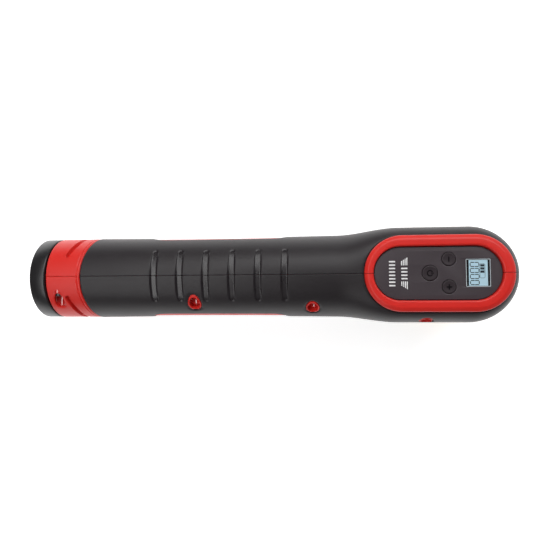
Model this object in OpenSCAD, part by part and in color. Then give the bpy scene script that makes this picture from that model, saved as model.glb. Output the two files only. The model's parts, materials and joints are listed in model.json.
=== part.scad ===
// Cordless mini polisher: a round battery grip, a rounded head with a display panel on its deck,
// and a small foam pad driven through a bevel gear on the underside of the head.
// Millimetres. Origin: centre of the pad's working face. +Z rises out of the display panel,
// +X points to the nose, and the seam between the two housing halves lies in the plane Y = 0.

/* [Barrel] */
// Height of the grip's axis above the pad's working face
axis_z = 58; // [56:0.5:60]
// Tail end of the housing, where the battery's end cap begins
tail_x = -254.4; // [-262:0.1:-253]
// Front edge of the red tail ring, where the soft grip begins
ring_x = -233; // [-236:0.5:-231]
// Radius of the red tail ring
ring_r = 25.4; // [25.2:0.1:25.6]
// Radius of the soft grip just in front of the ring
grip_start_r = 25.65; // [25.4:0.05:25.8]
// Where the grip is narrowest
waist_x = -150; // [-155:1:-145]
// Radius of the grip's waist
waist_r = 25.0; // [24.8:0.05:25.2]
// Radius at the neck, where the grip starts to widen into the head
neck_r = 25.3; // [25.1:0.05:25.5]
// Thickness of the soft overmould
soft_t = 1.4; // [1.2:0.1:1.6]
// Thickness of the rigid shell under it
shell_t = 2.4; // [2.2:0.1:2.5]

/* [Head] */
// Where the neck starts to widen
neck_x = -77; // [-79:0.5:-76]
// Where the head reaches its full width
head_x = -41; // [-43:0.5:-40]
// Half the width of the head, which is also its nose radius
head_w = 28.6; // [28.4:0.1:28.9]
// Height of the deck above the grip's axis
deck_h = 26.6; // [26.4:0.1:27]
// Depth of the head below the grip's axis
belly_h = 26.2; // [26:0.1:26.6]
// Exponent of the head's section: 2 is an ellipse, larger is squarer
head_pow = 3.6; // [3.4:0.1:3.8]
// Distance of the nose's centre in front of the spindle
nose_x = -0.4; // [-0.8:0.1:0]

/* [Grip details] */
// Number of finger grooves across the top
grooves = 6; // [4:1:6]
// Distance between grooves
groove_pitch = 15.8; // [15.6:0.1:16]
// Width of a groove
groove_w = 4.4; // [4:0.1:4.8]
// Depth of a groove
groove_depth = 0.9; // [0.7:0.1:1]
// Angle that a groove spans on each side of the seam
groove_half_angle = 39; // [36:1:42]
// Middle of the rearmost groove
groove_x = -186.7; // [-187:0.1:-186]
// Length of the red inlay in each side of the grip
inlay_len = 87; // [84:1:90]
// Middle of the red inlay along X
inlay_x = -150.4; // [-151:0.1:-150]
// Height of the red inlay
inlay_h = 18; // [16:0.5:19]
// How far the inlay lies below the soft surface
inlay_sink = 0.6; // [0.5:0.1:0.8]

/* [Panel] */
// Middle of the panel, along X
panel_x = -20; // [-20.2:0.05:-19.8]
// Distance between the centres of the panel's round ends
panel_run = 39.9; // [39.7:0.1:40]
// Middle of the panel's face, which lies a little further back inside the rim
face_x = -20.85; // [-21:0.05:-20.7]
// Distance between the centres of the face's round ends
face_run = 40.6; // [40.4:0.1:40.8]
// Inner radius of the raised red rim
rim_ri = 15.25; // [15:0.05:15.5]
// Outer radius of the raised red rim
rim_ro = 21.75; // [21.5:0.05:22]
// Height of the rim's crest above the grip's axis
rim_top = 27.5; // [27.2:0.1:27.8]
// Height of the panel's face above the grip's axis
face_h = 25.5; // [25.2:0.1:25.8]
// How far a button can be pressed
button_travel = 0.6; // [0.4:0.1:0.6]
// Radius of the power button
power_r = 4.35; // [4.2:0.05:4.4]
// Radius of the minus and plus buttons
step_r = 3.83; // [3.7:0.01:3.9]

/* [Gears] */
// Bevel module at the large end
gear_m = 1; // [1:0.05:1]
// Teeth on the pinion
pinion_teeth = 11; // [11:1:11]
// Teeth on the gear
gear_teeth = 33; // [33:1:33]
// Tooth thickness at the pitch circle, thinned for backlash
tooth_t = 1.15; // [1:0.05:1.2]
// Face width of both gears
gear_face = 5.5; // [5:0.1:5.6]

/* [Motor] */
// Radius of the motor's can
motor_r = 17.9; // [17.5:0.1:18]
// Front face of the motor
motor_x = -28; // [-28:0.5:-27.5]
// Length of the can
motor_len = 50; // [49:0.5:50]
// Radius of the motor's shaft
motor_shaft_r = 1.6; // [1.58:0.01:1.6]

/* [Spindle and pad] */
// Radius of the spindle
spindle_r = 4; // [4:0.1:4]
// Radius of the foam pad
pad_r = 27; // [26:0.5:28]
// Thickness of the foam pad
pad_t = 15; // [14:0.5:16]
// Radius of the backing plate
plate_r = 25.5; // [24:0.5:26]
// Thickness of the backing plate
plate_t = 8; // [7:0.5:8]

/* [Battery] */
// Radius of one cell
cell_r = 9.15; // [9:0.05:9.2]
// Length of one cell
cell_len = 64.8; // [64:0.2:65.2]
// Wall of the battery case
case_t = 1.1; // [1:0.1:1.2]
// Length of the end cap, the black collar at the tail
cap_len = 9.9; // [9.5:0.1:10.2]
// Gap between the end cap and the tail ring
cap_gap = 1.0; // [0.8:0.1:1.2]

/* [Hidden] */

$fn = 64;
red = [0.78, 0.10, 0.08];
soft_black = [0.09, 0.085, 0.09];
hard_black = [0.13, 0.12, 0.125];
steel = [0.62, 0.63, 0.65];
alloy = [0.72, 0.73, 0.75];
bronze = [0.66, 0.48, 0.26];
copper = [0.72, 0.38, 0.20];
board_green = [0.05, 0.28, 0.14];

seam_gap = 0.1;
rows = 16;
nose_steps = 10;
inner_inset = soft_t + shell_t;
grip_x = ring_x + 0.4;

// Screws that join the halves, as [x, height above the axis]: a row above the axis and a row below it.
screw_rows = [[-248, 19.9], [-163, 18], [-91.5, 15.5], [-248, -19.9], [-163, -18], [-91.5, -15.5]];
head_screw = [-25.6, 15];
screw_seat_y = 10;
cup_r = 4.1;
cup_bore_r = 3.25;
boss_r = 3.4;
screw_r = 1.45;
screw_head_r = 2.8;
screw_len = 19;
head_screw_len = 11.5;
head_boss_y = 21.4;
head_seat_y = 23;

// Stack of the drive line, as heights above the axis.
cover_bottom = -33;
housing_bottom = -26;
housing_r = 21;
housing_bore_r = 17.8;
housing_cavity_top = 7;
bearing_r = 11;
bearing_bore = spindle_r;
bearing_top = -24;
bearing_w = 7;
seal_r = 8;
bush_r = 6;
spindle_top = 13;
plate_top = cover_bottom - 2;

// The battery pack.
cell_y = cell_r + 0.1;
case_ro = cell_r + 0.15 + case_t;
case_ri = cell_r + 0.15;
cap_x = tail_x - cap_gap;
case_tail = cap_x + 0.2;
cell_tail = case_tail + 1.4;
strap_t = 0.5;
cells_front = cell_tail + 2 * cell_len + 3 * strap_t;
case_front = cells_front + 4.6;
block_x = case_front + 0.8;
block_len = 8;

// The driver board stands across the barrel behind the motor.
driver_x = -102.5;
driver_socket_z = [10.5, 13.5];

// ---- helpers: rods and rings along each axis, given by their two ends -----------------------

module at_axis() {
    translate([0, 0, axis_z])
        children();
}

module rod_x(x0, x1, r, y = 0, z = 0) {
    translate([x0, y, z])
        rotate([0, 90, 0])
            cylinder(h = x1 - x0, r = r);
}

module rod_y(y0, y1, r, x = 0, z = 0) {
    translate([x, y1, z])
        rotate([90, 0, 0])
            cylinder(h = y1 - y0, r = r);
}

module rod_z(z0, z1, r, x = 0, y = 0) {
    translate([x, y, z0])
        cylinder(h = z1 - z0, r = r);
}

module box(x, y, z) {
    translate([x[0], y[0], z[0]])
        cube([x[1] - x[0], y[1] - y[0], z[1] - z[0]]);
}

// A profile of [radius, x] points turned about the grip's axis.
module turned_x(points) {
    rotate([0, 90, 0])
        rotate_extrude()
            polygon(points);
}

// Part of a square ring about the X axis: turn 0 is the underside and 180 the top.
top_turn = 180;

module ring_arc(r0, r1, x, w, turn, half) {
    rotate([0, 90, 0])
        rotate([0, 0, turn - half])
            rotate_extrude(angle = 2 * half)
                translate([r0, x - w / 2])
                    square([r1 - r0, w]);
}

// Two round ends and a straight run along X.
module stadium_z(r, z0, z1, run = panel_run, x = panel_x) {
    rod_z(z0, z1, r, x - run / 2);
    rod_z(z0, z1, r, x + run / 2);
    box([x - run / 2, x + run / 2], [-r, r], [z0, z1]);
}

// Two round sides and a flat top and bottom, as the pair of cells has.
module racetrack_x(r, x0, x1) {
    rod_x(x0, x1, r, -cell_y);
    rod_x(x0, x1, r, cell_y);
    box([x0, x1], [-cell_y, cell_y], [-r, r]);
}

// A pan-head screw that points along -Z from the origin, with a cross in its head.
module screw(head_r, shank_r, length) {
    head_h = head_r * 0.7;
    difference() {
        union() {
            cylinder(h = head_h, r = head_r);
            translate([0, 0, -length])
                cylinder(h = length + head_h / 2, r = shank_r);
        }
        for (turn = [0, 90])
            rotate([0, 0, turn])
                translate([-head_r * 0.6, -head_r * 0.13, head_h * 0.45])
                    cube([head_r * 1.2, head_r * 0.26, head_h]);
    }
}

// ---- the outer skin -------------------------------------------------------------------------

function smooth(u) = let (v = max(0, min(1, u))) v * v * (3 - 2 * v);
function mix(a, b, s) = a + (b - a) * s;
function barrel_r(x) = lookup(x, [[tail_x, ring_r], [ring_x, ring_r], [grip_x, grip_start_r],
    [waist_x, waist_r], [neck_x, neck_r]]);

// A point of the right-hand section at x: angle 0 is the top, 180 the bottom.
function skin_point(x, angle, inset) =
    let (s = smooth((x - neck_x) / (head_x - neck_x)))
    let (w = mix(barrel_r(x), head_w, s) - inset)
    let (h = mix(barrel_r(x), angle < 90 ? deck_h : belly_h, s) - inset)
    let (e = 2 / mix(2, head_pow, s))
    [x, w * pow(abs(sin(angle)), e), h * sign(cos(angle)) * pow(abs(cos(angle)), e)];

// The stations from the tail to the nose's centre, as [x, inset], then the turn round the nose.
function skin_columns(stations) = concat(
    [for (s = stations) [for (i = [0:rows]) skin_point(s[0], 180 * i / rows, s[1])]],
    [for (k = [1:nose_steps])
        let (turn = 90 - 90 * k / nose_steps)
        [for (i = [0:rows])
            let (p = skin_point(nose_x, 180 * i / rows, stations[len(stations) - 1][1]))
            [nose_x + p[1] * cos(turn), p[1] * sin(turn), p[2]]]]);

function split_quad(q) = [
    if (q[0] != q[1] && q[1] != q[2] && q[0] != q[2]) [q[0], q[1], q[2]],
    if (q[0] != q[2] && q[2] != q[3] && q[0] != q[3]) [q[0], q[2], q[3]]];

// One closed half of a hollow skin, on the +Y side. Both lists of stations have the same length.
module half_skin(outer, inner) {
    columns = len(outer) + nose_steps;
    pole = len(outer) - 1;
    side = rows + 1;
    points = [for (c = concat(skin_columns(outer), skin_columns(inner))) for (p = c) p];
    function id(layer, j, i) =
        layer * columns * side + (j > pole && (i == 0 || i == rows) ? pole : j) * side + i;
    quads = concat(
        [for (j = [0:columns - 2]) for (i = [0:rows - 1])
            [id(0, j, i), id(0, j, i + 1), id(0, j + 1, i + 1), id(0, j + 1, i)]],
        [for (j = [0:columns - 2]) for (i = [0:rows - 1])
            [id(1, j, i), id(1, j + 1, i), id(1, j + 1, i + 1), id(1, j, i + 1)]],
        [for (j = [0:pole - 1]) [id(0, j, 0), id(0, j + 1, 0), id(1, j + 1, 0), id(1, j, 0)]],
        [for (j = [0:pole - 1])
            [id(1, j, rows), id(1, j + 1, rows), id(0, j + 1, rows), id(0, j, rows)]],
        [for (i = [0:rows - 1])
            [id(1, columns - 1, i), id(0, columns - 1, i),
                id(0, columns - 1, i + 1), id(1, columns - 1, i + 1)]],
        [for (i = [0:rows - 1]) [id(0, 0, i), id(1, 0, i), id(1, 0, i + 1), id(0, 0, i + 1)]]);
    polyhedron(points = points, faces = [for (q = quads) each split_quad(q)]);
}

neck_steps = 7;
front_stations = concat([-198, waist_x, -100],
    [for (k = [0:neck_steps]) mix(neck_x, head_x, k / neck_steps)], [nose_x]);

// The red raised rim round the panel: its section as [distance from the middle line, height].
rim_w = rim_ro - rim_ri;
rim_foot = 21.5;
rim_section = [[rim_ri, rim_foot], [rim_ri, rim_top - 1.3], [rim_ri + 0.5, rim_top - 0.3],
    [rim_ri + 1.3, rim_top], [rim_ri + rim_w * 0.6, rim_top - 0.1], [rim_ro - 1, rim_top - 0.7],
    [rim_ro - 0.2, rim_top - 1.6], [rim_ro, rim_top - 2.4], [rim_ro, rim_foot]];

module half_rim() {
    translate([panel_x + panel_run / 2, 0, 0])
        rotate_extrude(angle = 90)
            polygon(rim_section);
    translate([panel_x - panel_run / 2, 0, 0])
        rotate([0, 0, 90])
            rotate_extrude(angle = 90)
                polygon(rim_section);
    translate([panel_x - panel_run / 2, 0, 0])
        rotate([90, 0, 90])
            linear_extrude(panel_run)
                polygon(rim_section);
}

// ---- the two halves of the rigid red shell --------------------------------------------------

// A slanting slot in each side of the tail ring, from near the top round to near the bottom.
slot_x = -242.3;
slot_y = 12.3;
slot_tilt = 17;
slot_w = 2.8;
slot_depth = 1.9;
slot_half_angle = 61;
slot_step = 12.2;

module ring_slot() {
    first = 90 - slot_half_angle;
    last = 90 + slot_half_angle;
    intersection() {
        translate([slot_x - slot_w, 0, 0])
            rotate([90, 0, 90])
                linear_extrude(ring_x - slot_x)
                    polygon(concat(
                        [for (a = [first:slot_step:last]) (ring_r - slot_depth) * [sin(a), cos(a)]],
                        [for (a = [last:-slot_step:first]) (ring_r + 1) * [sin(a), cos(a)]]));
        translate([slot_x, slot_y, 0])
            rotate([0, 0, -slot_tilt])
                box([-slot_w / 2, slot_w / 2], [-5, 30], [-30, 30]);
    }
}

// The outline of the red inlay, as a prism along Y.
module inlay_prism(r, y0, y1) {
    ends = [inlay_x - (inlay_len - inlay_h) / 2, inlay_x + (inlay_len - inlay_h) / 2];
    rod_y(y0, y1, r, ends[0]);
    rod_y(y0, y1, r, ends[1]);
    box(ends, [y0, y1], [-r, r]);
}

// Ring-shaped ribs inside the shell that carry the battery and the motor.
rib_t = 2;
pack_ribs = [-236, -204, -172, -136];
motor_ribs = [-33, -73];
rib_root = 1;
ribbon_w = 6;
ribbon_z = [19.3, 19.6];
ribbon_slot = [[-ribbon_w / 2 - 0.6, ribbon_w / 2 + 0.6], [ribbon_z[0] - 0.5, ribbon_z[1] + 0.4]];

// A slice of the +Y side, t thick from x on, whose edge lies that far under the skin at x.
module skin_disc(x, t, inset) {
    translate([x, 0, 0])
        rotate([90, 0, 90])
            linear_extrude(t)
                polygon([for (i = [0:rows])
                    let (p = skin_point(x, 180 * i / rows, inset))
                    [p[1], p[2]]]);
}

module ribs() {
    for (x = pack_ribs)
        difference() {
            skin_disc(x, rib_t, inner_inset - rib_root);
            racetrack_x(case_ro + 0.35, x - 1, x + rib_t + 1);
        }
    for (x = motor_ribs)
        difference() {
            skin_disc(x, rib_t, inner_inset - rib_root);
            rod_x(x - 1, x + rib_t + 1, motor_r + 0.25);
            box([x - 1, x + rib_t + 1], ribbon_slot[0], ribbon_slot[1]);
        }
}

module half_space(y1 = 40) {
    box([-300, 60], [seam_gap / 2, y1], [-45, 45]);
}

// Everything that both halves share, on the +Y side.
module shell_half() {
    outer = concat([[tail_x, 0], [ring_x, 0], [grip_x - 0.1, soft_t]],
        [for (x = front_stations) [x, soft_t]]);
    inner = [for (s = outer) [s[0], inner_inset]];
    translate([0, seam_gap / 2, 0])
        half_skin(outer, inner);
    // The rim stops just short of the seam's face.
    translate([0, seam_gap / 2 + 0.06, 0])
        half_rim();
    intersection() {
        ribs();
        half_space();
    }
    // Raised land that shows through the window in the soft grip.
    land = [inlay_x - inlay_len / 2 - 1, inlay_x + inlay_len / 2 + 1];
    intersection() {
        turned_x([[waist_r - inner_inset + 1, land[0]], [waist_r - inlay_sink, land[0]],
            [waist_r - inlay_sink, land[1]], [waist_r - inner_inset + 1, land[1]]]);
        inlay_prism(inlay_h / 2 - 0.1, 15, 28);
    }
}

module shell_cuts() {
    stadium_z(rim_ri, 15, 30, face_run, face_x);
    rod_z(-30, -16, housing_r + 0.4);
    ring_slot();
}

module shell_left() {
    color(red)
        at_axis()
            difference() {
                union() {
                    shell_half();
                    for (s = screw_rows)
                        intersection() {
                            rod_y(seam_gap / 2, barrel_wall_y(s) + 1, boss_r, s[0], s[1]);
                            rod_x(s[0] - 8, s[0] + 8, barrel_r(s[0]) - soft_t - 0.5);
                        }
                }
                shell_cuts();
                for (s = screw_rows)
                    rod_y(-1, screw_seat_y, screw_r, s[0], s[1]);
            }
}

// Distance from the seam to the inside of the barrel's wall at a screw.
function barrel_wall_y(s) = sqrt(pow(barrel_r(s[0]) - inner_inset, 2) - s[1] * s[1]);

module shell_right() {
    color(red)
        at_axis()
            mirror([0, 1, 0])
                difference() {
                    union() {
                        shell_half();
                        for (s = screw_rows) {
                            rod_y(seam_gap / 2, screw_seat_y + 2, boss_r, s[0], s[1]);
                            intersection() {
                                rod_y(screw_seat_y - 2, 30, cup_r, s[0], s[1]);
                                rod_x(s[0] - 8, s[0] + 8, barrel_r(s[0]) - 0.1);
                            }
                        }
                        intersection() {
                            rod_y(head_boss_y, 30, cup_r, head_screw[0], head_screw[1]);
                            skin_disc(head_screw[0] - 5, 10, 0.15);
                        }
                    }
                    shell_cuts();
                    for (s = screw_rows) {
                        rod_y(screw_seat_y, 40, cup_bore_r, s[0], s[1]);
                        rod_y(-1, screw_seat_y + 1, screw_r + 0.3, s[0], s[1]);
                    }
                    rod_y(head_seat_y, 40, cup_bore_r, head_screw[0], head_screw[1]);
                    rod_y(0, 30, screw_r + 0.3, head_screw[0], head_screw[1]);
                }
}

// ---- the soft overmould ---------------------------------------------------------------------

module finger_grooves() {
    for (k = [0:grooves - 1]) {
        x = groove_x + k * groove_pitch;
        for (turn = [0, top_turn])
            ring_arc(barrel_r(x) - groove_depth, barrel_r(x) + 1, x, groove_w, turn, groove_half_angle);
    }
}

module grip_half() {
    stations = concat([grip_x], front_stations);
    difference() {
        translate([0, seam_gap / 2, 0])
            half_skin([for (x = stations) [x, 0]], [for (x = stations) [x, soft_t - 0.05]]);
        stadium_z(rim_ro + 0.1, 15, 30);
        rod_z(-30, -18, housing_r + 1.4);
        inlay_prism(inlay_h / 2, 15, 28);
        finger_grooves();
    }
}

module grip_left() {
    color(soft_black)
        at_axis()
            grip_half();
}

module grip_right() {
    color(soft_black)
        at_axis()
            mirror([0, 1, 0])
                difference() {
                    grip_half();
                    for (s = concat(screw_rows, [head_screw]))
                        rod_y(8, 40, cup_r + 0.1, s[0], s[1]);
                }
}

// ---- the display panel ----------------------------------------------------------------------

face_r = rim_ri - 0.25;
plate_under = face_h - 2;
tray_bottom = 19.6;
flange_t = 1.2;
board_top = 19.2;
board_bottom = 18.2;
window_x = [-5.35, 8.15];
window_y = 7.9;
light_x = [-3.7, 6.6];
power_x = -25;
step_x = -14.6;
step_y = 7.85;
panel_screw_spots = [[-46, 8.5], [-46, -8.5], [10.9, 3.5], [10.9, -3.5]];
socket_x = [-52.6, -49.4];
flange_bottom = 21.8;

module panel_plate() {
    color(hard_black)
        at_axis()
            difference() {
                union() {
                    stadium_z(face_r, tray_bottom, face_h, face_run, face_x);
                    stadium_z(face_r + 1.1, tray_bottom, tray_bottom + flange_t, panel_run, face_x);
                }
                difference() {
                    stadium_z(face_r - 1.2, tray_bottom - 1, plate_under, panel_run - 0.3, face_x);
                    for (p = panel_screw_spots)
                        rod_z(board_top, plate_under + 1, 2.2, p[0], p[1]);
                }
                for (p = panel_screw_spots)
                    rod_z(board_top - 1, plate_under, 0.9, p[0], p[1]);
                rod_z(plate_under - 1, 30, power_r + 0.15, power_x);
                for (side = [-1, 1])
                    rod_z(plate_under - 1, 30, step_r + 0.15, step_x, side * step_y);
                box(window_x, [-window_y, window_y], [plate_under - 1, 30]);
                box([socket_x[0] - 6, socket_x[0]], ribbon_slot[0], ribbon_slot[1]);
            }
}

module lcd_window() {
    color([0.85, 0.9, 0.92, 0.4])
        at_axis()
            box([window_x[0] + 0.1, window_x[1] - 0.1], [-window_y + 0.1, window_y - 0.1], [24.3, 25.3]);
}

module lcd_module() {
    color([0.62, 0.74, 0.78])
        at_axis() {
            box([light_x[0], light_x[1]], [-7.3, 7.3], [22, 23.9]);
            box([-5, 7.8], [-9, 9], [board_top + 0.02, 22]);
        }
}

module control_board() {
    color(board_green)
        at_axis() {
            difference() {
                stadium_z(face_r - 1.5, board_bottom, board_top);
                for (p = panel_screw_spots)
                    rod_z(board_bottom - 1, board_top + 1, 1.1, p[0], p[1]);
            }
            box(socket_x, [-4, 4], [board_top - 0.1, board_top + 1.4]);
        }
}

module tact_switch(x, y) {
    box([x - 2.2, x + 2.2], [y - 2.2, y + 2.2], [board_top + 0.02, board_top + 1.2]);
    rod_z(board_top + 1, flange_bottom - button_travel - 0.05, 1.2, x, y);
}

module tact_switches() {
    color([0.25, 0.25, 0.26])
        at_axis() {
            tact_switch(power_x, 0);
            tact_switch(step_x, step_y);
            tact_switch(step_x, -step_y);
        }
}

// A button: a cap that stands in the plate's hole, on a flange that stops it from below.
button_top = face_h + 0.35;

module button(x, y, r) {
    rod_z(flange_bottom + 0.5, button_top - 0.3, r, x, y);
    rod_z(button_top - 0.4, button_top, r - 0.35, x, y);
    rod_z(flange_bottom, flange_bottom + 0.6, r + 0.7, x, y);
}

module button_power() {
    color(hard_black)
        at_axis()
            button(power_x, 0, power_r);
}

module button_minus() {
    color(hard_black)
        at_axis()
            button(step_x, step_y, step_r);
}

module button_plus() {
    color(hard_black)
        at_axis()
            button(step_x, -step_y, step_r);
}

module panel_screws() {
    color(steel)
        at_axis()
            for (p = panel_screw_spots)
                translate([p[0], p[1], board_bottom])
                    mirror([0, 0, 1])
                        screw(1.8, 0.88, 4.5);
}

// The ribbon runs from the socket on the control board, over the motor, to the driver board.
ribbon_tail = driver_x + 1.9;
ribbon_t = ribbon_z[1] - ribbon_z[0];

module display_ribbon() {
    color([0.75, 0.72, 0.66])
        at_axis() {
            box([ribbon_tail, socket_x[0] - 0.02], [-ribbon_w / 2, ribbon_w / 2], ribbon_z);
            box([ribbon_tail, ribbon_tail + ribbon_t], [-ribbon_w / 2, ribbon_w / 2],
                [driver_socket_z[1] + 0.02, ribbon_z[1]]);
        }
}

// ---- the gearbox ----------------------------------------------------------------------------

gearbox_screw_r = 19.3;
flange_x = motor_x + 3;
head_post_r = 2.35;
motor_screw_y = 12.5;

module gearbox_housing() {
    color(alloy)
        at_axis()
            difference() {
                union() {
                    rod_z(housing_bottom, 9, housing_r);
                    rod_z(8, 14, 9);
                    rod_x(flange_x - 0.5, -14, 10);
                    rod_x(motor_x + 0.02, flange_x, 17.5);
                    rod_y(-21.2, -6, head_post_r, head_screw[0], head_screw[1]);
                }
                rod_z(housing_bottom - 1, housing_cavity_top, housing_bore_r);
                rod_z(0, 20, bush_r);
                rod_x(-40, -6, 7.2);
                rod_x(-40, motor_x + 2, 8.4);
                for (turn = [45:90:315])
                    rotate([0, 0, turn])
                        rod_z(housing_bottom - 1, housing_bottom + 10, 0.95, gearbox_screw_r);
                for (side = [-1, 1])
                    rod_x(-40, flange_x + 1, 1.6, side * motor_screw_y);
                rod_y(-30, -11, screw_r - 0.15, head_screw[0], head_screw[1]);
            }
}

module gearbox_cover() {
    color(alloy)
        at_axis()
            difference() {
                union() {
                    rotate_extrude()
                        polygon([[0, cover_bottom], [housing_r - 2, cover_bottom],
                            [housing_r, cover_bottom + 2],
                            [housing_r, housing_bottom - 0.02], [0, housing_bottom - 0.02]]);
                    rod_z(housing_bottom - 1, bearing_top, housing_bore_r - 0.05);
                }
                rod_z(bearing_top - bearing_w, bearing_top + 1, bearing_r + 0.01);
                rod_z(cover_bottom - 1, cover_bottom + 5, seal_r);
                for (turn = [45:90:315])
                    rotate([0, 0, turn]) {
                        rod_z(cover_bottom - 1, housing_bottom + 1, 1.1, gearbox_screw_r);
                        rod_z(cover_bottom - 1, cover_bottom + 3, 1.9, gearbox_screw_r);
                    }
            }
}

module gearbox_screws() {
    color(steel)
        at_axis()
            for (turn = [45:90:315])
                rotate([0, 0, turn])
                    translate([gearbox_screw_r, 0, cover_bottom + 2.9])
                        mirror([0, 0, 1])
                            screw(1.6, 0.94, 12);
}

// A bevel tooth that converges on the origin. Its pitch cone opens along +Z.
cone_dist = gear_m * sqrt(pinion_teeth * pinion_teeth + gear_teeth * gear_teeth) / 2;
tooth_add = 0.8 * gear_m;
tooth_ded = 1.15 * gear_m;
tooth_root_extra = 0.35;
flank = tan(20);

module bevel_tooth(cone) {
    points = [for (f = [1, 1 - gear_face / cone_dist])
        for (corner = [[-1, -1], [1, -1], [1, 1], [-1, 1]])
            let (reach = corner[1] > 0 ? tooth_add : -tooth_ded - tooth_root_extra)
            let (half = tooth_t / 2 - reach * flank)
            [f * (cone_dist * sin(cone) + reach * cos(cone)), f * corner[0] * half,
                f * (cone_dist * cos(cone) - reach * sin(cone))]];
    polyhedron(points = points, faces = [[0, 1, 2, 3], [7, 6, 5, 4], [0, 4, 5, 1], [1, 5, 6, 2], [2, 6, 7, 3],
        [3, 7, 4, 0]]);
}

// A bevel gear about +Z: its teeth, the cone under them, a hub and a bore.
module bevel_wheel(teeth, cone, bore_r, hub_r, hub_end, back, first) {
    small = 1 - gear_face / cone_dist;
    root_r = cone_dist * sin(cone) - tooth_ded * cos(cone);
    root_z = cone_dist * cos(cone) + tooth_ded * sin(cone);
    difference() {
        union() {
            rotate_extrude()
                polygon([[0, small * root_z + 0.6], [small * root_r - 0.8, small * root_z + 0.6],
                    [small * root_r, small * root_z], [root_r, root_z], [root_r, root_z + back],
                    [hub_r, root_z + back], [hub_r, hub_end], [0, hub_end]]);
            for (k = [0:teeth - 1])
                rotate([0, 0, first + k * 360 / teeth])
                    bevel_tooth(cone);
        }
        translate([0, 0, -1])
            cylinder(h = hub_end + 2, r = bore_r);
    }
}

gear_cone = atan(gear_teeth / pinion_teeth);
gear_hub_end = 23.6;
pinion_hub_end = 23.5;

module bevel_gear() {
    color(steel)
        at_axis()
            rotate([180, 0, 0])
                bevel_wheel(gear_teeth, gear_cone, spindle_r, 6.5, gear_hub_end, 2.6, 180);
}

module pinion_gear() {
    color(steel)
        at_axis()
            rotate([0, -90, 0])
                bevel_wheel(pinion_teeth, 90 - gear_cone, motor_shaft_r, 3.6, pinion_hub_end, 1.5, 0);
}

module spindle() {
    color(steel)
        at_axis()
            difference() {
                union() {
                    rod_z(plate_top - plate_t + 2, spindle_top, spindle_r - 0.01);
                    rod_z(cover_bottom - 1.6, cover_bottom - 0.3, 6.5);
                }
                difference() {
                    rod_z(-22.9, -21.9, 10);
                    rod_z(-30, 0, spindle_r - 0.5);
                }
            }
}

module circlip() {
    color(hard_black)
        at_axis()
            difference() {
                rod_z(12.1, 12.7, 5.2);
                rod_z(0, 20, spindle_r);
                box([0, 10], [-1.5, 1.5], [10, 20]);
            }
}

module upper_bush() {
    color(bronze)
        at_axis()
            difference() {
                rod_z(7.5, 11.8, bush_r);
                rod_z(0, 20, spindle_r + 0.03);
            }
}

race_r = 7.3;
ball_r = 1.98;
ball_count = 7;

module bearing_outer_race() {
    color(steel)
        at_axis()
            difference() {
                rod_z(bearing_top - bearing_w, bearing_top, bearing_r);
                rod_z(bearing_top - bearing_w - 1, bearing_top + 1, race_r + 1.3);
                bearing_groove();
            }
}

module bearing_groove() {
    translate([0, 0, bearing_top - bearing_w / 2])
        rotate_extrude()
            translate([race_r, 0])
                circle(r = ball_r + 0.05);
}

module bearing_inner_race() {
    color(steel)
        at_axis()
            difference() {
                rod_z(bearing_top - bearing_w, bearing_top, race_r - 1.3);
                rod_z(bearing_top - bearing_w - 1, bearing_top + 1, bearing_bore);
                bearing_groove();
            }
}

module bearing_balls() {
    color(steel)
        at_axis()
            for (k = [0:ball_count - 1])
                rotate([0, 0, k * 360 / ball_count])
                    translate([race_r, 0, bearing_top - bearing_w / 2])
                        sphere(r = ball_r);
}

module dust_seal() {
    color(hard_black)
        at_axis()
            difference() {
                rod_z(cover_bottom + 0.2, cover_bottom + 1.8, seal_r - 0.05);
                rod_z(-40, 0, spindle_r + 0.1);
            }
}

// ---- the pad --------------------------------------------------------------------------------

module backing_plate() {
    color(hard_black)
        at_axis()
            difference() {
                translate([0, 0, plate_top - plate_t])
                    rotate_extrude()
                        polygon([[0, 1], [plate_r, 1], [plate_r + 0.4, 2.2], [plate_r - 1, 3.6],
                            [12, plate_t - 1], [11, plate_t], [0, plate_t]]);
                rod_z(plate_top - plate_t + 1.9, plate_top + 1, spindle_r);
            }
}

module hook_disc() {
    color([0.2, 0.2, 0.22])
        at_axis()
            rod_z(plate_top - plate_t + 0.02, plate_top - plate_t + 0.98, plate_r - 0.5);
}

module polishing_pad() {
    color([0.93, 0.80, 0.18])
        rotate_extrude()
            polygon([[0, 0], [pad_r - 3, 0], [pad_r - 0.8, 1.2], [pad_r, 4], [pad_r - 0.5, pad_t - 2],
                [pad_r - 1.5, pad_t], [0, pad_t]]);
}

// ---- the motor ------------------------------------------------------------------------------

can_tail = motor_x - motor_len;
can_wall = 1.1;
magnet_ri = 12.6;
core_r = 11.6;
core_x = [motor_x - 40, motor_x - 10];
shaft_tail = can_tail - 8;
bell_t = 3;
winding_r = 7.2;

module motor_can() {
    color(steel)
        at_axis()
            difference() {
                rod_x(can_tail, motor_x, motor_r);
                rod_x(can_tail - 1, motor_x - 1.5, motor_r - can_wall);
                rod_x(motor_x - 5, motor_x + 1, 5);
                for (side = [-1, 1])
                    rod_x(motor_x - 3, motor_x + 1, 1.5, side * motor_screw_y);
            }
}

module motor_front_bush() {
    color(bronze)
        at_axis()
            difference() {
                union() {
                    rod_x(motor_x - 4.5, motor_x + 2.2, 5);
                    rod_x(motor_x - 4.5, motor_x - 1.6, 6.5);
                }
                rod_x(motor_x - 10, motor_x + 10, motor_shaft_r + 0.03);
            }
}

module motor_rear_bush() {
    color(bronze)
        at_axis()
            difference() {
                rod_x(can_tail - bell_t - 0.5, can_tail + 1.5, 4);
                rod_x(can_tail - 10, can_tail + 10, motor_shaft_r + 0.03);
            }
}

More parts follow.
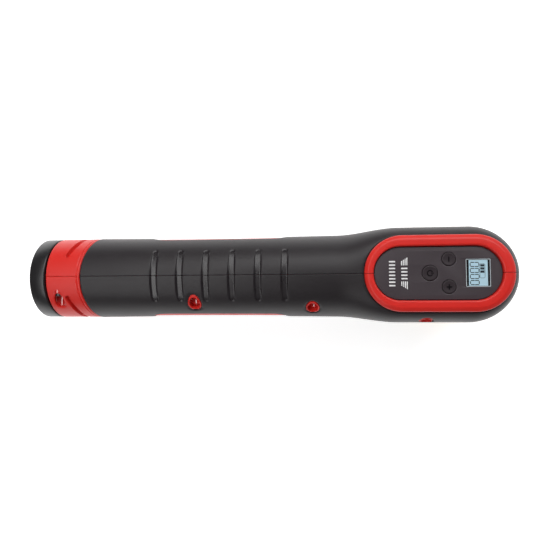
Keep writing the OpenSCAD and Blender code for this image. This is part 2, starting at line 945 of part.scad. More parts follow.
module motor_end_bell() {
    color(hard_black)
        at_axis()
            difference() {
                union() {
                    rod_x(can_tail - bell_t, can_tail - 0.02, motor_r);
                    rod_x(can_tail - 1, can_tail + 1.2, motor_r - can_wall - 0.05);
                }
                rod_x(can_tail - 10, can_tail + 10, 4);
                for (turn = [45, 135, 225, 315])
                    rotate([turn, 0, 0])
                        rod_x(can_tail - 10, can_tail + 10, 2.6, 0, 11);
            }
}

module motor_magnets() {
    color([0.2, 0.2, 0.21])
        at_axis()
            for (side = [0, 180])
                rotate([side, 0, 0])
                    intersection() {
                        difference() {
                            rod_x(motor_x - 43, motor_x - 8, motor_r - can_wall - 0.02);
                            rod_x(motor_x - 44, motor_x - 7, magnet_ri);
                        }
                        rotate([65, 0, 0])
                            box([-90, 0], [0, 30], [-30, 30]);
                        rotate([-65, 0, 0])
                            box([-90, 0], [0, 30], [-30, 30]);
                    }
}

module motor_shaft() {
    color(steel)
        at_axis()
            rod_x(shaft_tail, -12, motor_shaft_r);
}

// Laminated core with three poles, which the windings fill.
module armature_core() {
    color([0.45, 0.45, 0.47])
        at_axis()
            difference() {
                rod_x(core_x[0], core_x[1], core_r);
                for (turn = [60:120:300])
                    rotate([turn, 0, 0]) {
                        rod_x(core_x[0] - 1, core_x[1] + 1, 3.4, 0, winding_r);
                        box([core_x[0] - 1, core_x[1] + 1], [-0.9, 0.9], [8, 13]);
                    }
                rod_x(-90, 0, motor_shaft_r);
            }
}

module armature_windings() {
    color(copper)
        at_axis() {
            for (turn = [60:120:300])
                rotate([turn, 0, 0])
                    rod_x(core_x[0] - 3, core_x[1] + 3, 3.2, 0, winding_r);
            for (end = [[core_x[0] - 4, core_x[0] - 0.1], [core_x[1] + 0.1, core_x[1] + 4]])
                difference() {
                    rod_x(end[0], end[1], 10.2);
                    rod_x(-90, 0, 3.2);
                }
        }
}

module commutator() {
    color(copper)
        at_axis()
            difference() {
                rod_x(can_tail + 1.8, core_x[0] - 4.3, 3.6);
                rod_x(-100, 0, motor_shaft_r);
                for (turn = [0:120:240])
                    rotate([turn, 0, 0])
                        box([can_tail, core_x[0] - 5.5], [-0.2, 0.2], [2.8, 5]);
            }
}

module motor_brushes() {
    color([0.28, 0.25, 0.24])
        at_axis()
            for (side = [-1, 1])
                box([can_tail + 2.2, core_x[0] - 5], side > 0 ? [3.65, 10] : [-10, -3.65], [-1.6, 1.6]);
}

fan_x = [can_tail - 7.5, can_tail - bell_t - 0.9];
fan_blades = 11;

module cooling_fan() {
    color([0.75, 0.76, 0.78])
        at_axis()
            difference() {
                union() {
                    rod_x(fan_x[0], fan_x[1], 4);
                    rod_x(fan_x[0], fan_x[0] + 1, 15.2);
                    for (k = [0:fan_blades - 1])
                        rotate([k * 360 / fan_blades, 0, 0])
                            box([fan_x[0] + 0.5, fan_x[1] - 0.2], [-0.5, 0.5], [3, 15]);
                }
                rod_x(-100, 0, motor_shaft_r);
            }
}

module motor_screws() {
    color(steel)
        at_axis()
            for (side = [-1, 1])
                translate([flange_x, side * motor_screw_y, 0])
                    rotate([0, 90, 0])
                        screw(2.2, 1.45, 5.4);
}

// ---- boards and wiring ----------------------------------------------------------------------

module driver_board() {
    color(board_green)
        at_axis() {
            difference() {
                rod_x(driver_x, driver_x + 1.6, 19.5);
                for (side = [-1, 1])
                    box([driver_x - 1, driver_x + 3], [-8, 8], side > 0 ? [17, 22] : [-22, -17]);
            }
            rod_x(driver_x + 1.5, driver_x + 9, 4, 0, -4);
            box([driver_x + 1.5, driver_x + 4], [6, 14], [-5, 5]);
            box([driver_x + 1.5, driver_x + 4], [-4, 4], driver_socket_z);
            box([driver_x + 1.5, driver_x + 4], [-14, -6], [-5, 5]);
        }
}

module motor_leads() {
    color([0.7, 0.1, 0.08])
        at_axis()
            for (side = [-1, 1])
                rod_x(driver_x + 1.62, can_tail - bell_t - 0.02, 0.9, side * 16.6, -1);
}

module battery_leads() {
    color([0.1, 0.1, 0.1])
        at_axis()
            for (side = [-1, 1])
                rod_x(block_x + block_len + 0.02, driver_x - 0.02, 1, side * 6, 0);
}

blade_y = [-9, 0, 9];

module terminal_block() {
    color(hard_black)
        at_axis()
            difference() {
                box([block_x, block_x + block_len], [-14, 14], [-6, 6]);
                for (y = blade_y)
                    box([block_x - 1, block_x + block_len - 1.2], [y - 0.8, y + 0.8], [-3.6, 3.6]);
            }
}

// ---- the battery pack -----------------------------------------------------------------------

recess = 0.4;
recess_half_w = 6.5;
recess_from_ends = 14;
rail_half_h = 1.6;

module battery_case() {
    color(hard_black)
        at_axis()
            difference() {
                racetrack_x(case_ro, case_tail, case_front);
                racetrack_x(case_ri, case_tail - 1, case_front - 1.5);
                // A shallow recess in each flat, and a guide groove along each round side.
                for (side = [0, 180])
                    rotate([side, 0, 0]) {
                        box([case_tail + recess_from_ends, case_front - recess_from_ends],
                            [-recess_half_w, recess_half_w], [case_ro - recess, case_ro + 1]);
                        box([case_tail + recess_from_ends, case_front + 1],
                            [cell_y + case_ro - recess, cell_y + case_ro + 1],
                            [-rail_half_h, rail_half_h]);
                    }
                for (y = blade_y)
                    box([case_front - 3, case_front + 1], [y - 0.5, y + 0.5], [-3.2, 3.2]);
            }
}

pack_screw_y = [-10, 10];

module battery_end_cap() {
    tail = cap_x - cap_len;
    color(hard_black)
        at_axis()
            difference() {
                union() {
                    turned_x([[0, tail], [ring_r - 0.8, tail], [ring_r - 0.25, tail + 0.25],
                        [ring_r, tail + 0.8], [ring_r, cap_x - 0.5], [ring_r - 0.5, cap_x], [0, cap_x]]);
                    turned_x([[0, cap_x - 1], [ring_r - inner_inset - 0.4, cap_x - 1],
                        [ring_r - inner_inset - 0.4, tail_x + 1.6], [0, tail_x + 1.6]]);
                }
                racetrack_x(case_ro + 0.02, cap_x - 3, tail_x + 5);
                for (y = pack_screw_y) {
                    rod_x(tail - 1, tail + 3, 3.2, y);
                    rod_x(tail - 1, cap_x, 1.6, y);
                }
                turned_x([[17, tail - 1], [18, tail - 1], [18, tail + 0.6], [17, tail + 0.6]]);
            }
}

module pack_screws() {
    tail = cap_x - cap_len;
    color(steel)
        at_axis()
            for (y = pack_screw_y)
                translate([tail + 3, y, 0])
                    rotate([0, -90, 0])
                        screw(2.6, 1.4, 6);
}

module battery_cells() {
    color([0.2, 0.45, 0.65])
        at_axis()
            for (k = [0, 1])
                for (y = [-cell_y, cell_y])
                    rod_x(cell_tail + strap_t + k * (cell_len + strap_t),
                        cell_tail + strap_t + k * (cell_len + strap_t) + cell_len - 0.04, cell_r - 0.05, y);
}

module cell_straps() {
    color([0.8, 0.8, 0.78])
        at_axis()
            for (k = [0, 1, 2]) {
                x = cell_tail + k * (cell_len + strap_t);
                box([x + 0.05, x + strap_t - 0.05], [-cell_y - 4, cell_y + 4], [-3.5, 3.5]);
            }
}

module battery_board() {
    color(board_green)
        at_axis()
            racetrack_x(case_ri - 0.6, cells_front + 0.3, cells_front + 1.7);
}

module pack_terminals() {
    color([0.8, 0.7, 0.35])
        at_axis()
            for (y = blade_y)
                box([cells_front + 1.72, block_x + block_len - 2.2], [y - 0.4, y + 0.4], [-3, 3]);
}

spring_x = [-222, -208];

module pack_springs() {
    color(steel)
        at_axis()
            for (side = [0, 180])
                rotate([side, 0, 0])
                    translate([0, cell_y + case_ro + 0.06, 0]) {
                        box([spring_x[0] + 3, spring_x[1] - 3], [0, 0.35], [-4, 4]);
                        box([spring_x[0], spring_x[0] + 3.2], [0.3, 0.8], [-4, 4]);
                        box([spring_x[1] - 3.2, spring_x[1]], [0.3, 0.8], [-4, 4]);
                    }
}

module housing_screws() {
    color(steel)
        at_axis() {
            for (s = screw_rows)
                translate([s[0], -screw_seat_y - 0.02, s[1]])
                    rotate([90, 0, 0])
                        screw(screw_head_r, screw_r - 0.02, screw_len);
            translate([head_screw[0], -head_seat_y - 0.02, head_screw[1]])
                rotate([90, 0, 0])
                    screw(screw_head_r, screw_r - 0.17, head_screw_len);
        }
}

shell_left();
shell_right();
grip_left();
grip_right();
panel_plate();
lcd_window();
lcd_module();
control_board();
tact_switches();
button_power();
button_minus();
button_plus();
panel_screws();
display_ribbon();
gearbox_housing();
gearbox_cover();
gearbox_screws();
bevel_gear();
pinion_gear();
spindle();
upper_bush();
bearing_outer_race();
bearing_inner_race();
bearing_balls();
dust_seal();
circlip();
backing_plate();
hook_disc();
polishing_pad();
motor_can();
motor_end_bell();
motor_magnets();
motor_brushes();
motor_front_bush();
motor_rear_bush();
motor_shaft();
armature_core();
armature_windings();
commutator();
cooling_fan();
motor_screws();
motor_leads();
driver_board();
terminal_block();
battery_leads();
battery_case();
battery_end_cap();
battery_cells();
cell_straps();
battery_board();
pack_terminals();
pack_screws();
pack_springs();
housing_screws();
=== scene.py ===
import json
import math
import bpy
import numpy as np
from mathutils import Euler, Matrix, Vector
from mathutils.geometry import tessellate_polygon


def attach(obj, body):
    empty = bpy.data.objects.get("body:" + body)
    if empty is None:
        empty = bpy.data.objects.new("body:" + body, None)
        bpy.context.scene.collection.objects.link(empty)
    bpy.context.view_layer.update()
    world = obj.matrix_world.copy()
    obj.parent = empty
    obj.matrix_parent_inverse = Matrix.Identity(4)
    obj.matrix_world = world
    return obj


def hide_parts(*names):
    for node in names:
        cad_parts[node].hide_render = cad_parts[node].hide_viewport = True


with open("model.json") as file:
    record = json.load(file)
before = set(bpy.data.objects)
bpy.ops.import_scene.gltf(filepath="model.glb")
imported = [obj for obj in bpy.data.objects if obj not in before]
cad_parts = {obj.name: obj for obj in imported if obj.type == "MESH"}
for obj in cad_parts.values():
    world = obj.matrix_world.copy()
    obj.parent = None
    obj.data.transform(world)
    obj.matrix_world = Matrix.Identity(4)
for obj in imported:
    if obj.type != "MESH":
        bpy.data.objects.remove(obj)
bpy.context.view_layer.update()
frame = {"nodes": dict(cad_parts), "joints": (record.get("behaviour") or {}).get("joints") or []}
NODES = frame["nodes"]

# Lengths below are millimetres. x runs from tail to nose, y to the left-hand half, and z is
# the height above the grip's axis, which lies this far above the pad's face, in metres.
AXIS_Z = [j for j in frame["joints"] if j["name"] == "rotor_spin"][0]["pos_m"][2]
MM = 0.001

# ---- driving dimensions, the same as the CAD part's ---------------------------------------

TAIL_X, RING_X, GRIP_X = -254.4, -233.0, -232.6
RING_R, GRIP_START_R, WAIST_R, NECK_R = 25.4, 25.65, 25.0, 25.3
WAIST_X, NECK_X, HEAD_X, NOSE_X = -150.0, -77.0, -41.0, -0.4
HEAD_W, DECK_H, BELLY_H, HEAD_POW = 28.6, 26.6, 26.2, 3.6
NOSE_END = NOSE_X + HEAD_W * math.pi / 2
SOFT_T, SHELL_T = 1.4, 2.4

GROOVES, GROOVE_PITCH, GROOVE_FIRST = 6, 15.8, -186.7
GROOVE_W, GROOVE_DEPTH, GROOVE_HALF = 4.4, 0.9, math.radians(39)
INLAY_X, INLAY_LEN, INLAY_H, INLAY_SINK = -150.4, 87.0, 18.0, 0.6

PANEL_X, PANEL_RUN, FACE_X, FACE_RUN = -20.0, 39.9, -20.85, 40.6
RIM_RI, RIM_RO, RIM_TOP, RIM_FOOT = 15.25, 21.75, 27.5, 21.5
FACE_H, FACE_R = 25.5, 15.0
PLATE_UNDER, TRAY_BOTTOM = 23.5, 19.6
POWER_X, POWER_R = -25.0, 4.35
STEP_X, STEP_Y, STEP_R = -14.6, 7.85, 3.83
BUTTON_TOP = FACE_H + 0.35
BUTTON_FLANGE_Z, BUTTON_FLANGE_TOP, BUTTON_FLANGE_R = 21.8, 22.4, 0.7
WINDOW_X, WINDOW_Y = (-5.35, 8.15), 7.9

SCREWS = [(-248.0, 19.9), (-163.0, 18.0), (-91.5, 15.5), (-248.0, -19.9), (-163.0, -18.0),
          (-91.5, -15.5), (-25.6, 15.0)]
CUP_R, CUP_BORE_R, SCREW_SEAT_Y, HEAD_SEAT_Y = 4.1, 3.25, 10.0, 23.0
SCREW_R, BOSS_R, BOSS_BORE_R, BOSS_GAP = 1.75, 3.4, 1.45, 0.1
GEARBOX_R = 21.0
SLOT_X, SLOT_Y, SLOT_W, SLOT_DEPTH, SLOT_START = -242.3, 12.3, 2.8, 1.9, math.radians(29)
SLOT_TILT, SLOT_ROUND = math.radians(17), 0.04

PACK_RIBS, MOTOR_RIBS, RIB_T = (-236.0, -204.0, -172.0, -136.0), (-33.0, -73.0), 2.0
CELL_Y, PACK_R, MOTOR_R = 9.25, 10.75, 18.15
RIBBON_TURN = math.radians(13)
PAD_R, PAD_T, LOOP_T = 27.0, 15.0, 1.3

# ---- dimensions that only the visual model has

SEAM = 0.05  # half of the gap between the two halves
GRIP_BOW, BAND_W = 4.0, 1.9  # the bowed line by the tail ring, and its band
GRIP_GAP, GRIP_EDGE, GRIP_SEAM = 0.12, (0.55, 0.5), (0.3, 0.22)
GEARBOX_GRIP_GAP, GEARBOX_SHELL_GAP = 1.4, 0.4
GROOVE_RAMP, GROOVE_FADE = (0.15, 0.85), (0.55, 0.45, 0.6)
SHINE_DEPTH, SHINE_R = 0.35, 23.7  # where a groove's smooth bottom starts
SHELL_SEAM, TAIL_EDGE, FRONT_EDGE = (0.35, 0.3), (0.6, 0.5), (0.9, 0.55)
BAND_HALF, BAND_DEPTH, BAND_GAP = 0.38, 0.55, 0.25
CUP_LIP, BORE_EDGE = (0.3, 0.25), (0.35, 0.3)
LIGHT_X, LIGHT_Y = (-3.7, 6.6), 7.3  # the lit part of the display
MASK_Z, MASK_DROP, GLOW_DROP = 24.0, 0.12, 0.35
PRINT_X, PRINT_X2, PRINT_H = -39.2, -46.0, 3.5
PRINT_PITCH, PRINT_HALF, PRINT_SHIFT = 1.95, 0.42, -0.1
STRIPE_W, WING_PITCH, WING_Y0, WING_Y1, WING_TAPER, WING_SLANT = 0.58, 1.0, 4.6, 9.1, 0.62, 0.3
ZEROS, ZERO_X, ZERO_Y, ZERO_PITCH, ZERO_SIZE = 4, -0.5, 4.75, 3.4, (4.7, 2.3, 0.5)
BATTERY_X, BATTERY_HALF, BATTERY_Y, BATTERY_LINE = 3.7, 1.5, (-3.0, 5.3), 0.2
CHARGE_HALF, CHARGE_Y, CHARGE_LEN, CHARGE_PITCH = 1.1, 3.5, 1.35, 1.75

PROBE, PROBE_TURN = 0.02, 0.02 / 25  # the short steps that slopes are measured over
FAR = 99.0  # the distance of an edge on another side
SIDE, SCREW_SIDE = 10.0, 8.0  # where an opening's side starts


# ---- meshes ---------------------------------------------------------------------------------

def inside_out(points, faces):
    """Whether the faces of a closed mesh wind the wrong way, which its signed volume tells."""
    volume = 0.0
    for n in sorted({len(f) for f in faces}):
        p = points[np.array([f for f in faces if len(f) == n], int)]
        volume += np.einsum("ij,ikj->", p[:, 0], np.cross(p[:, 1:-1], p[:, 2:]))
    return volume < 0


def piece(name, points, faces, body, material, slot, flip=False, sharp=35):
    """A named mesh from points in millimetres. flip mirrors it to the other side of the seam."""
    points = np.array(points, float)
    if flip:
        points[:, 1] *= -1
    if inside_out(points, faces):
        faces = [tuple(reversed(f)) for f in faces]
    points = points * MM
    points[:, 2] += AXIS_Z
    mesh = bpy.data.meshes.new(name)
    mesh.from_pydata([tuple(p) for p in points], [], [tuple(int(i) for i in f) for f in faces])
    mesh.validate()
    mesh.polygons.foreach_set("use_smooth", [True] * len(mesh.polygons))
    mesh.set_sharp_from_angle(angle=math.radians(sharp))
    mesh.update()
    item = bpy.data.objects.new(name, mesh)
    bpy.context.collection.objects.link(item)
    for m in (material if isinstance(material, (list, tuple)) else [material]):
        mesh.materials.append(m)
    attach(item, body)
    return item


def smooth(u):
    """An even ramp from 0 to 1."""
    u = np.clip(u, 0, 1)
    return u * u * (3 - 2 * u)


def barrel_radius(x):
    """The round barrel's radius, least at the waist."""
    back = np.clip((WAIST_X - x) / (WAIST_X - GRIP_X), 0, 1)
    ahead = np.clip((x - WAIST_X) / (NECK_X - WAIST_X), 0, 1)
    rear = WAIST_R + (GRIP_START_R - WAIST_R) * back ** 2
    front = WAIST_R + (NECK_R - WAIST_R) * ahead ** 2
    return np.where(x < RING_X + 0.1, RING_R, np.where(x < WAIST_X, rear, front))


def surface(u, a):
    """Points of the outer skin. u is x as far as the nose's centre, then the way round the nose."""
    x = np.minimum(u, NOSE_X)
    turn = np.maximum(u - NOSE_X, 0) / HEAD_W
    s = smooth((x - NECK_X) / (HEAD_X - NECK_X))
    r0 = barrel_radius(x)
    w = r0 + (HEAD_W - r0) * s
    h = r0 + (np.where(np.cos(a) > 0, DECK_H, BELLY_H) - r0) * s
    n = 2 + (HEAD_POW - 2) * s
    r = ((np.abs(np.sin(a)) / w) ** n + (np.abs(np.cos(a)) / h) ** n) ** (-1 / n)
    out = r * np.sin(a)
    return np.stack([x + out * np.sin(turn), out * np.cos(turn), r * np.cos(a)], -1)


def normals(u, a):
    """The outer skin's outward directions, kept square to the seam along it."""
    along = surface(u + PROBE, a) - surface(u - PROBE, a)
    around = surface(u, a + PROBE_TURN) - surface(u, a - PROBE_TURN)
    n = np.cross(along, around)
    size = np.linalg.norm(n, axis=-1, keepdims=True)
    pole = np.stack([np.zeros_like(u), np.zeros_like(u), np.sign(np.cos(a))], -1)
    n = np.where(size > 1e-9, n / np.maximum(size, 1e-9), pole)
    seam = np.abs(np.sin(a)) < 1e-6
    n[..., 1] = np.where(seam, 0, n[..., 1])
    return n / np.linalg.norm(n, axis=-1, keepdims=True)


def ring_front(a):
    """x of the line where the grip meets the tail ring. It bows forward at the sides."""
    return GRIP_X + GRIP_BOW * np.sin(a) ** 2


def from_segment(p, q, x0, x1):
    """Distance of (p, q) from the stretch of the p axis between x0 and x1."""
    return np.hypot(p - np.clip(p, x0, x1), q)


def rim_edge(p):
    """Distance from the middle line of the panel's rounded outline, on the deck."""
    half = PANEL_RUN / 2
    d = from_segment(p[..., 0], p[..., 1], PANEL_X - half, PANEL_X + half)
    return np.where(p[..., 2] > SIDE, d, FAR)


def inlay_edge(p):
    """Distance from the red inlay's outline on the side, negative inside it."""
    half = INLAY_LEN / 2 - INLAY_H / 2
    d = from_segment(p[..., 0], p[..., 2], INLAY_X - half, INLAY_X + half) - INLAY_H / 2
    return np.where(p[..., 1] > SIDE, d, FAR)


def gearbox_edge(p):
    """Distance from the gearbox's round opening in the belly."""
    return np.where(p[..., 2] < -SIDE, np.hypot(p[..., 0], p[..., 1]) - GEARBOX_R, FAR)


def screw_edge(p, radius):
    """Distance from the nearest circle of that radius round a screw, on the side."""
    best = np.full(p.shape[:-1], FAR)
    for x, z in SCREWS:
        best = np.minimum(best, np.hypot(p[..., 0] - x, p[..., 2] - z) - radius)
    return np.where(p[..., 1] > SCREW_SIDE, best, FAR)


def groove_inside(u, a):
    """How deep a point is inside the nearest finger groove's outline, in mm."""
    best = np.full(u.shape, -FAR)
    reach = (GROOVE_HALF - GROOVE_W / 2 / WAIST_R) * WAIST_R
    for k in range(GROOVES):
        x = GROOVE_FIRST + k * GROOVE_PITCH
        for around in (a, math.pi - a):
            v = np.maximum(np.abs(around) * WAIST_R - reach, 0)
            best = np.maximum(best, GROOVE_W / 2 - np.hypot(u - x, v))
    return best


def dip(d, radius, depth):
    """How far a rounded edge of that radius falls away, d from the edge itself."""
    t = np.clip(1 - d / radius, 0, 1)
    return depth * (1 - np.sqrt(np.maximum(1 - t * t, 0)))


def snapped_grid(us, angles, cut):
    """The grid with its points nearest the cut's outline moved onto it, and each point's side."""
    u, a = np.meshgrid(us, angles, indexing="ij")
    d = cut(u, a)
    near = np.zeros(u.shape, bool)
    for axis in (0, 1):
        p = np.moveaxis(d, axis, 0)
        m = np.moveaxis(near, axis, 0)
        cross = p[:-1] * p[1:] < 0
        first = np.abs(p[:-1]) < np.abs(p[1:])
        m[:-1] |= cross & first
        m[1:] |= cross & ~first
    fixed_u = np.zeros(u.shape, bool)
    fixed_u[[0, -1], :] = True
    fixed_a = np.zeros(u.shape, bool)
    fixed_a[:, [0, -1]] = True
    typical_r, least = 26.0, 0.05
    for _ in range(4):
        d = cut(u, a)
        du = (cut(u + PROBE, a) - cut(u - PROBE, a)) / (2 * PROBE)
        da = (cut(u, a + PROBE_TURN) - cut(u, a - PROBE_TURN)) / (2 * PROBE_TURN)
        du = np.where(fixed_u, 0, du)
        da = np.where(fixed_a, 0, da)
        weight = du * du + da * da / typical_r ** 2
        move = near & (weight > least)
        u = np.where(move, u - d * du / np.maximum(weight, least), u)
        a = np.where(move, a - d * da / typical_r ** 2 / np.maximum(weight, least), a)
    side = np.where(near, 0, np.sign(cut(u, a))).astype(int)
    return u, a, side


def layered_skin(us, angles, cut, outer_inset, inner_inset):
    """A closed shell between two depths under the skin, open where cut(u, a) is negative."""
    u, a, side = snapped_grid(us, angles, cut)
    base = surface(u, a)
    n = normals(u, a)
    top = base - n * outer_inset(u, a)[..., None]
    low = base - n * inner_inset(u, a)[..., None]
    cols, rows = u.shape
    ids = np.arange(cols * rows).reshape(cols, rows)
    quad = np.stack([ids[:-1, :-1], ids[:-1, 1:], ids[1:, 1:], ids[1:, :-1]], -1).reshape(-1, 4)
    flat = side.reshape(-1)
    kind = flat[quad]
    centre = cut((u[:-1, :-1] + u[1:, 1:]) / 2, (a[:-1, :-1] + a[1:, 1:]) / 2).reshape(-1)
    low_kind, high_kind = kind.min(1), kind.max(1)
    whole = (low_kind >= 0) & ((high_kind > 0) | (centre > 0))
    halved = (low_kind < 0) & (high_kind > 0)
    faces = [tuple(q) for q in quad[whole]]
    for q, k in zip(quad[halved], kind[halved]):
        for i in range(4):
            if k[i] > 0 and k[(i + 2) % 4] < 0:
                faces.append((q[i - 1], q[i], q[(i + 1) % 4]))
    count = {}
    for f in faces:
        for i in range(len(f)):
            e = (f[i], f[(i + 1) % len(f)])
            key = (min(e), max(e))
            count[key] = None if key in count else e
    total = cols * rows
    out = [tuple(f) for f in faces]
    out += [tuple(i + total for i in reversed(f)) for f in faces]
    out += [(e[1], e[0], e[0] + total, e[1] + total) for e in count.values() if e]
    points = np.concatenate([top.reshape(-1, 3), low.reshape(-1, 3)])
    points[:, 1] += SEAM
    used = np.unique(np.concatenate([np.array(f) for f in out]))
    back = np.full(len(points), -1)
    back[used] = np.arange(len(used))
    return points[used], [tuple(back[list(f)]) for f in out]


def spread(*stretches):
    """Stations along a line, from (start, step) pairs and a last end."""
    out = []
    for (start, step), (end, _) in zip(stretches[:-1], stretches[1:]):
        count = max(1, round((end - start) / step))
        out += list(start + (end - start) * np.arange(count) / count)
    return np.array(out + [stretches[-1][0]])


def fillet(points, radii, steps):
    """A closed outline with its corners rounded to those radii."""
    out = []
    count = len(points)
    for i in range(count):
        p = np.array(points[i], float)
        before = np.array(points[i - 1], float) - p
        after = np.array(points[(i + 1) % count], float) - p
        lb, la = np.linalg.norm(before), np.linalg.norm(after)
        before, after = before / lb, after / la
        half = math.acos(max(-1, min(1, float(before @ after)))) / 2
        reach = min(radii[i] / math.tan(half) if half > 1e-3 else 0, lb * 0.49, la * 0.49)
        if radii[i] <= 0 or half > math.pi / 2 - 0.02:
            out.append(tuple(p))
            continue
        radius = reach * math.tan(half)
        centre = p + (before + after) / np.linalg.norm(before + after) * radius / math.sin(half)
        start, end = p + before * reach - centre, p + after * reach - centre
        a0 = math.atan2(start[1], start[0])
        sweep = (math.atan2(end[1], end[0]) - a0 + math.pi) % (2 * math.pi) - math.pi
        for k in range(steps + 1):
            t = a0 + sweep * k / steps
            out.append((centre[0] + radius * math.cos(t), centre[1] + radius * math.sin(t)))
    return out


def lathe(profile, steps, at=(0, 0, 0)):
    """A closed profile of (radius, height) spun about the upright line through at."""
    points, faces, rings = [], [], []
    for r, t in profile:
        if r < 1e-6:
            rings.append([len(points)] * steps)
            points.append((0, 0, t))
            continue
        rings.append(list(range(len(points), len(points) + steps)))
        points += [(r * math.cos(2 * math.pi * k / steps), r * math.sin(2 * math.pi * k / steps), t)
                   for k in range(steps)]
    area = sum(profile[i - 1][0] * profile[i][1] - profile[i][0] * profile[i - 1][1]
               for i in range(len(profile)))
    for i in range(len(profile)):
        a, b = rings[i - 1], rings[i]
        for k in range(steps):
            m = (k + 1) % steps
            f = [a[k], a[m], b[m], b[k]]
            f = [v for j, v in enumerate(f) if v != f[j - 1]]
            if len(f) > 2:
                faces.append(tuple(f if area > 0 else reversed(f)))
    return np.array(points, float) + np.array(at, float), faces


def merge(*parts):
    """Several (points, faces) as one."""
    points, faces, start = [], [], 0
    for p, f in parts:
        points.append(np.array(p, float))
        faces += [tuple(i + start for i in g) for g in f]
        start += len(p)
    return np.concatenate(points), faces


def ring_of(r, cx=0.0, cy=0.0, steps=48, hole=False):
    """A circle's outline as a function of its inset."""
    def loop(inset):
        radius = r + inset if hole else r - inset
        turn = np.arange(steps) * 2 * math.pi / steps * (-1 if hole else 1)
        return np.stack([cx + radius * np.cos(turn), cy + radius * np.sin(turn)], 1)
    return loop


def bar_of(x0, x1, y0, y1, corner, hole=False, steps=4):
    """A rounded rectangle's outline as a function of its inset."""
    def loop(inset):
        grow = inset if hole else -inset
        r = max(corner + grow, 0.02)
        pts = []
        for cx, cy, start in ((x1 - corner, y1 - corner, 0), (x0 + corner, y1 - corner, 90),
                              (x0 + corner, y0 + corner, 180), (x1 - corner, y0 + corner, 270)):
            for k in range(steps + 1):
                t = math.radians(start + 90 * k / steps)
                pts.append((cx + r * math.cos(t), cy + r * math.sin(t)))
        pts = np.array(pts)
        return pts[::-1] if hole else pts
    return loop


def tube(rings):
    """Rings of points joined in turn, the last to the first, as a closed tube."""
    steps = len(rings[0])
    faces = []
    for j in range(len(rings)):
        a, b = j * steps, (j + 1) % len(rings) * steps
        for k in range(steps):
            m = (k + 1) % steps
            faces.append((a + k, b + k, b + m, a + m))
    return np.concatenate(rings), faces


def stadium_of(r, hole=False, steps=40, run=FACE_RUN):
    """The panel's outline, two half circles on a straight run, as a function of its inset."""
    def loop(inset):
        radius = r + inset if hole else r - inset
        pts = []
        for cx, start in ((FACE_X + run / 2, -90), (FACE_X - run / 2, 90)):
            for k in range(steps + 1):
                t = math.radians(start + 180 * k / steps)
                pts.append((cx + radius * math.cos(t), radius * math.sin(t)))
        pts = np.array(pts)
        return pts[::-1] if hole else pts
    return loop


def rounded_levels(z0, z1, edge, steps=3, bottom=True):
    """(height, inset) pairs from z0 to z1 that round the plate's edges."""
    up = [(z1 - edge + edge * math.sin(math.pi / 2 * k / steps),
           edge * (1 - math.cos(math.pi / 2 * k / steps))) for k in range(steps + 1)]
    down = [(z0 + z1 - z, inset) for z, inset in reversed(up)] if bottom else [(z0, 0.0)]
    return down + up


def plate(loops, levels):
    """A flat plate with holes: its outlines at each level, joined by walls and capped."""
    points, faces, rows = [], [], []
    for z, inset in levels:
        row = []
        for loop in loops:
            p = loop(inset)
            row.append(list(range(len(points), len(points) + len(p))))
            points += [(q[0], q[1], z) for q in p]
        rows.append(row)
    for low, high in zip(rows[:-1], rows[1:]):
        for a, b in zip(low, high):
            for k in range(len(a)):
                m = (k + 1) % len(a)
                faces.append((a[k], a[m], b[m], b[k]))
    for row, up in ((rows[0], False), (rows[-1], True)):
        flat = [i for loop in row for i in loop]
        polys = [[Vector((points[i][0], points[i][1], 0)) for i in loop] for loop in row]
        for t in tessellate_polygon(polys):
            i, j, k = (flat[n] for n in t)
            p, q, r = points[i], points[j], points[k]
            turn = (q[0] - p[0]) * (r[1] - p[1]) - (q[1] - p[1]) * (r[0] - p[0])
            if abs(turn) < 1e-9:
                continue
            faces.append((i, j, k) if (turn > 0) == up else (k, j, i))
    return np.array(points, float), faces


# ---- materials --------------------------------------------------------------------------------

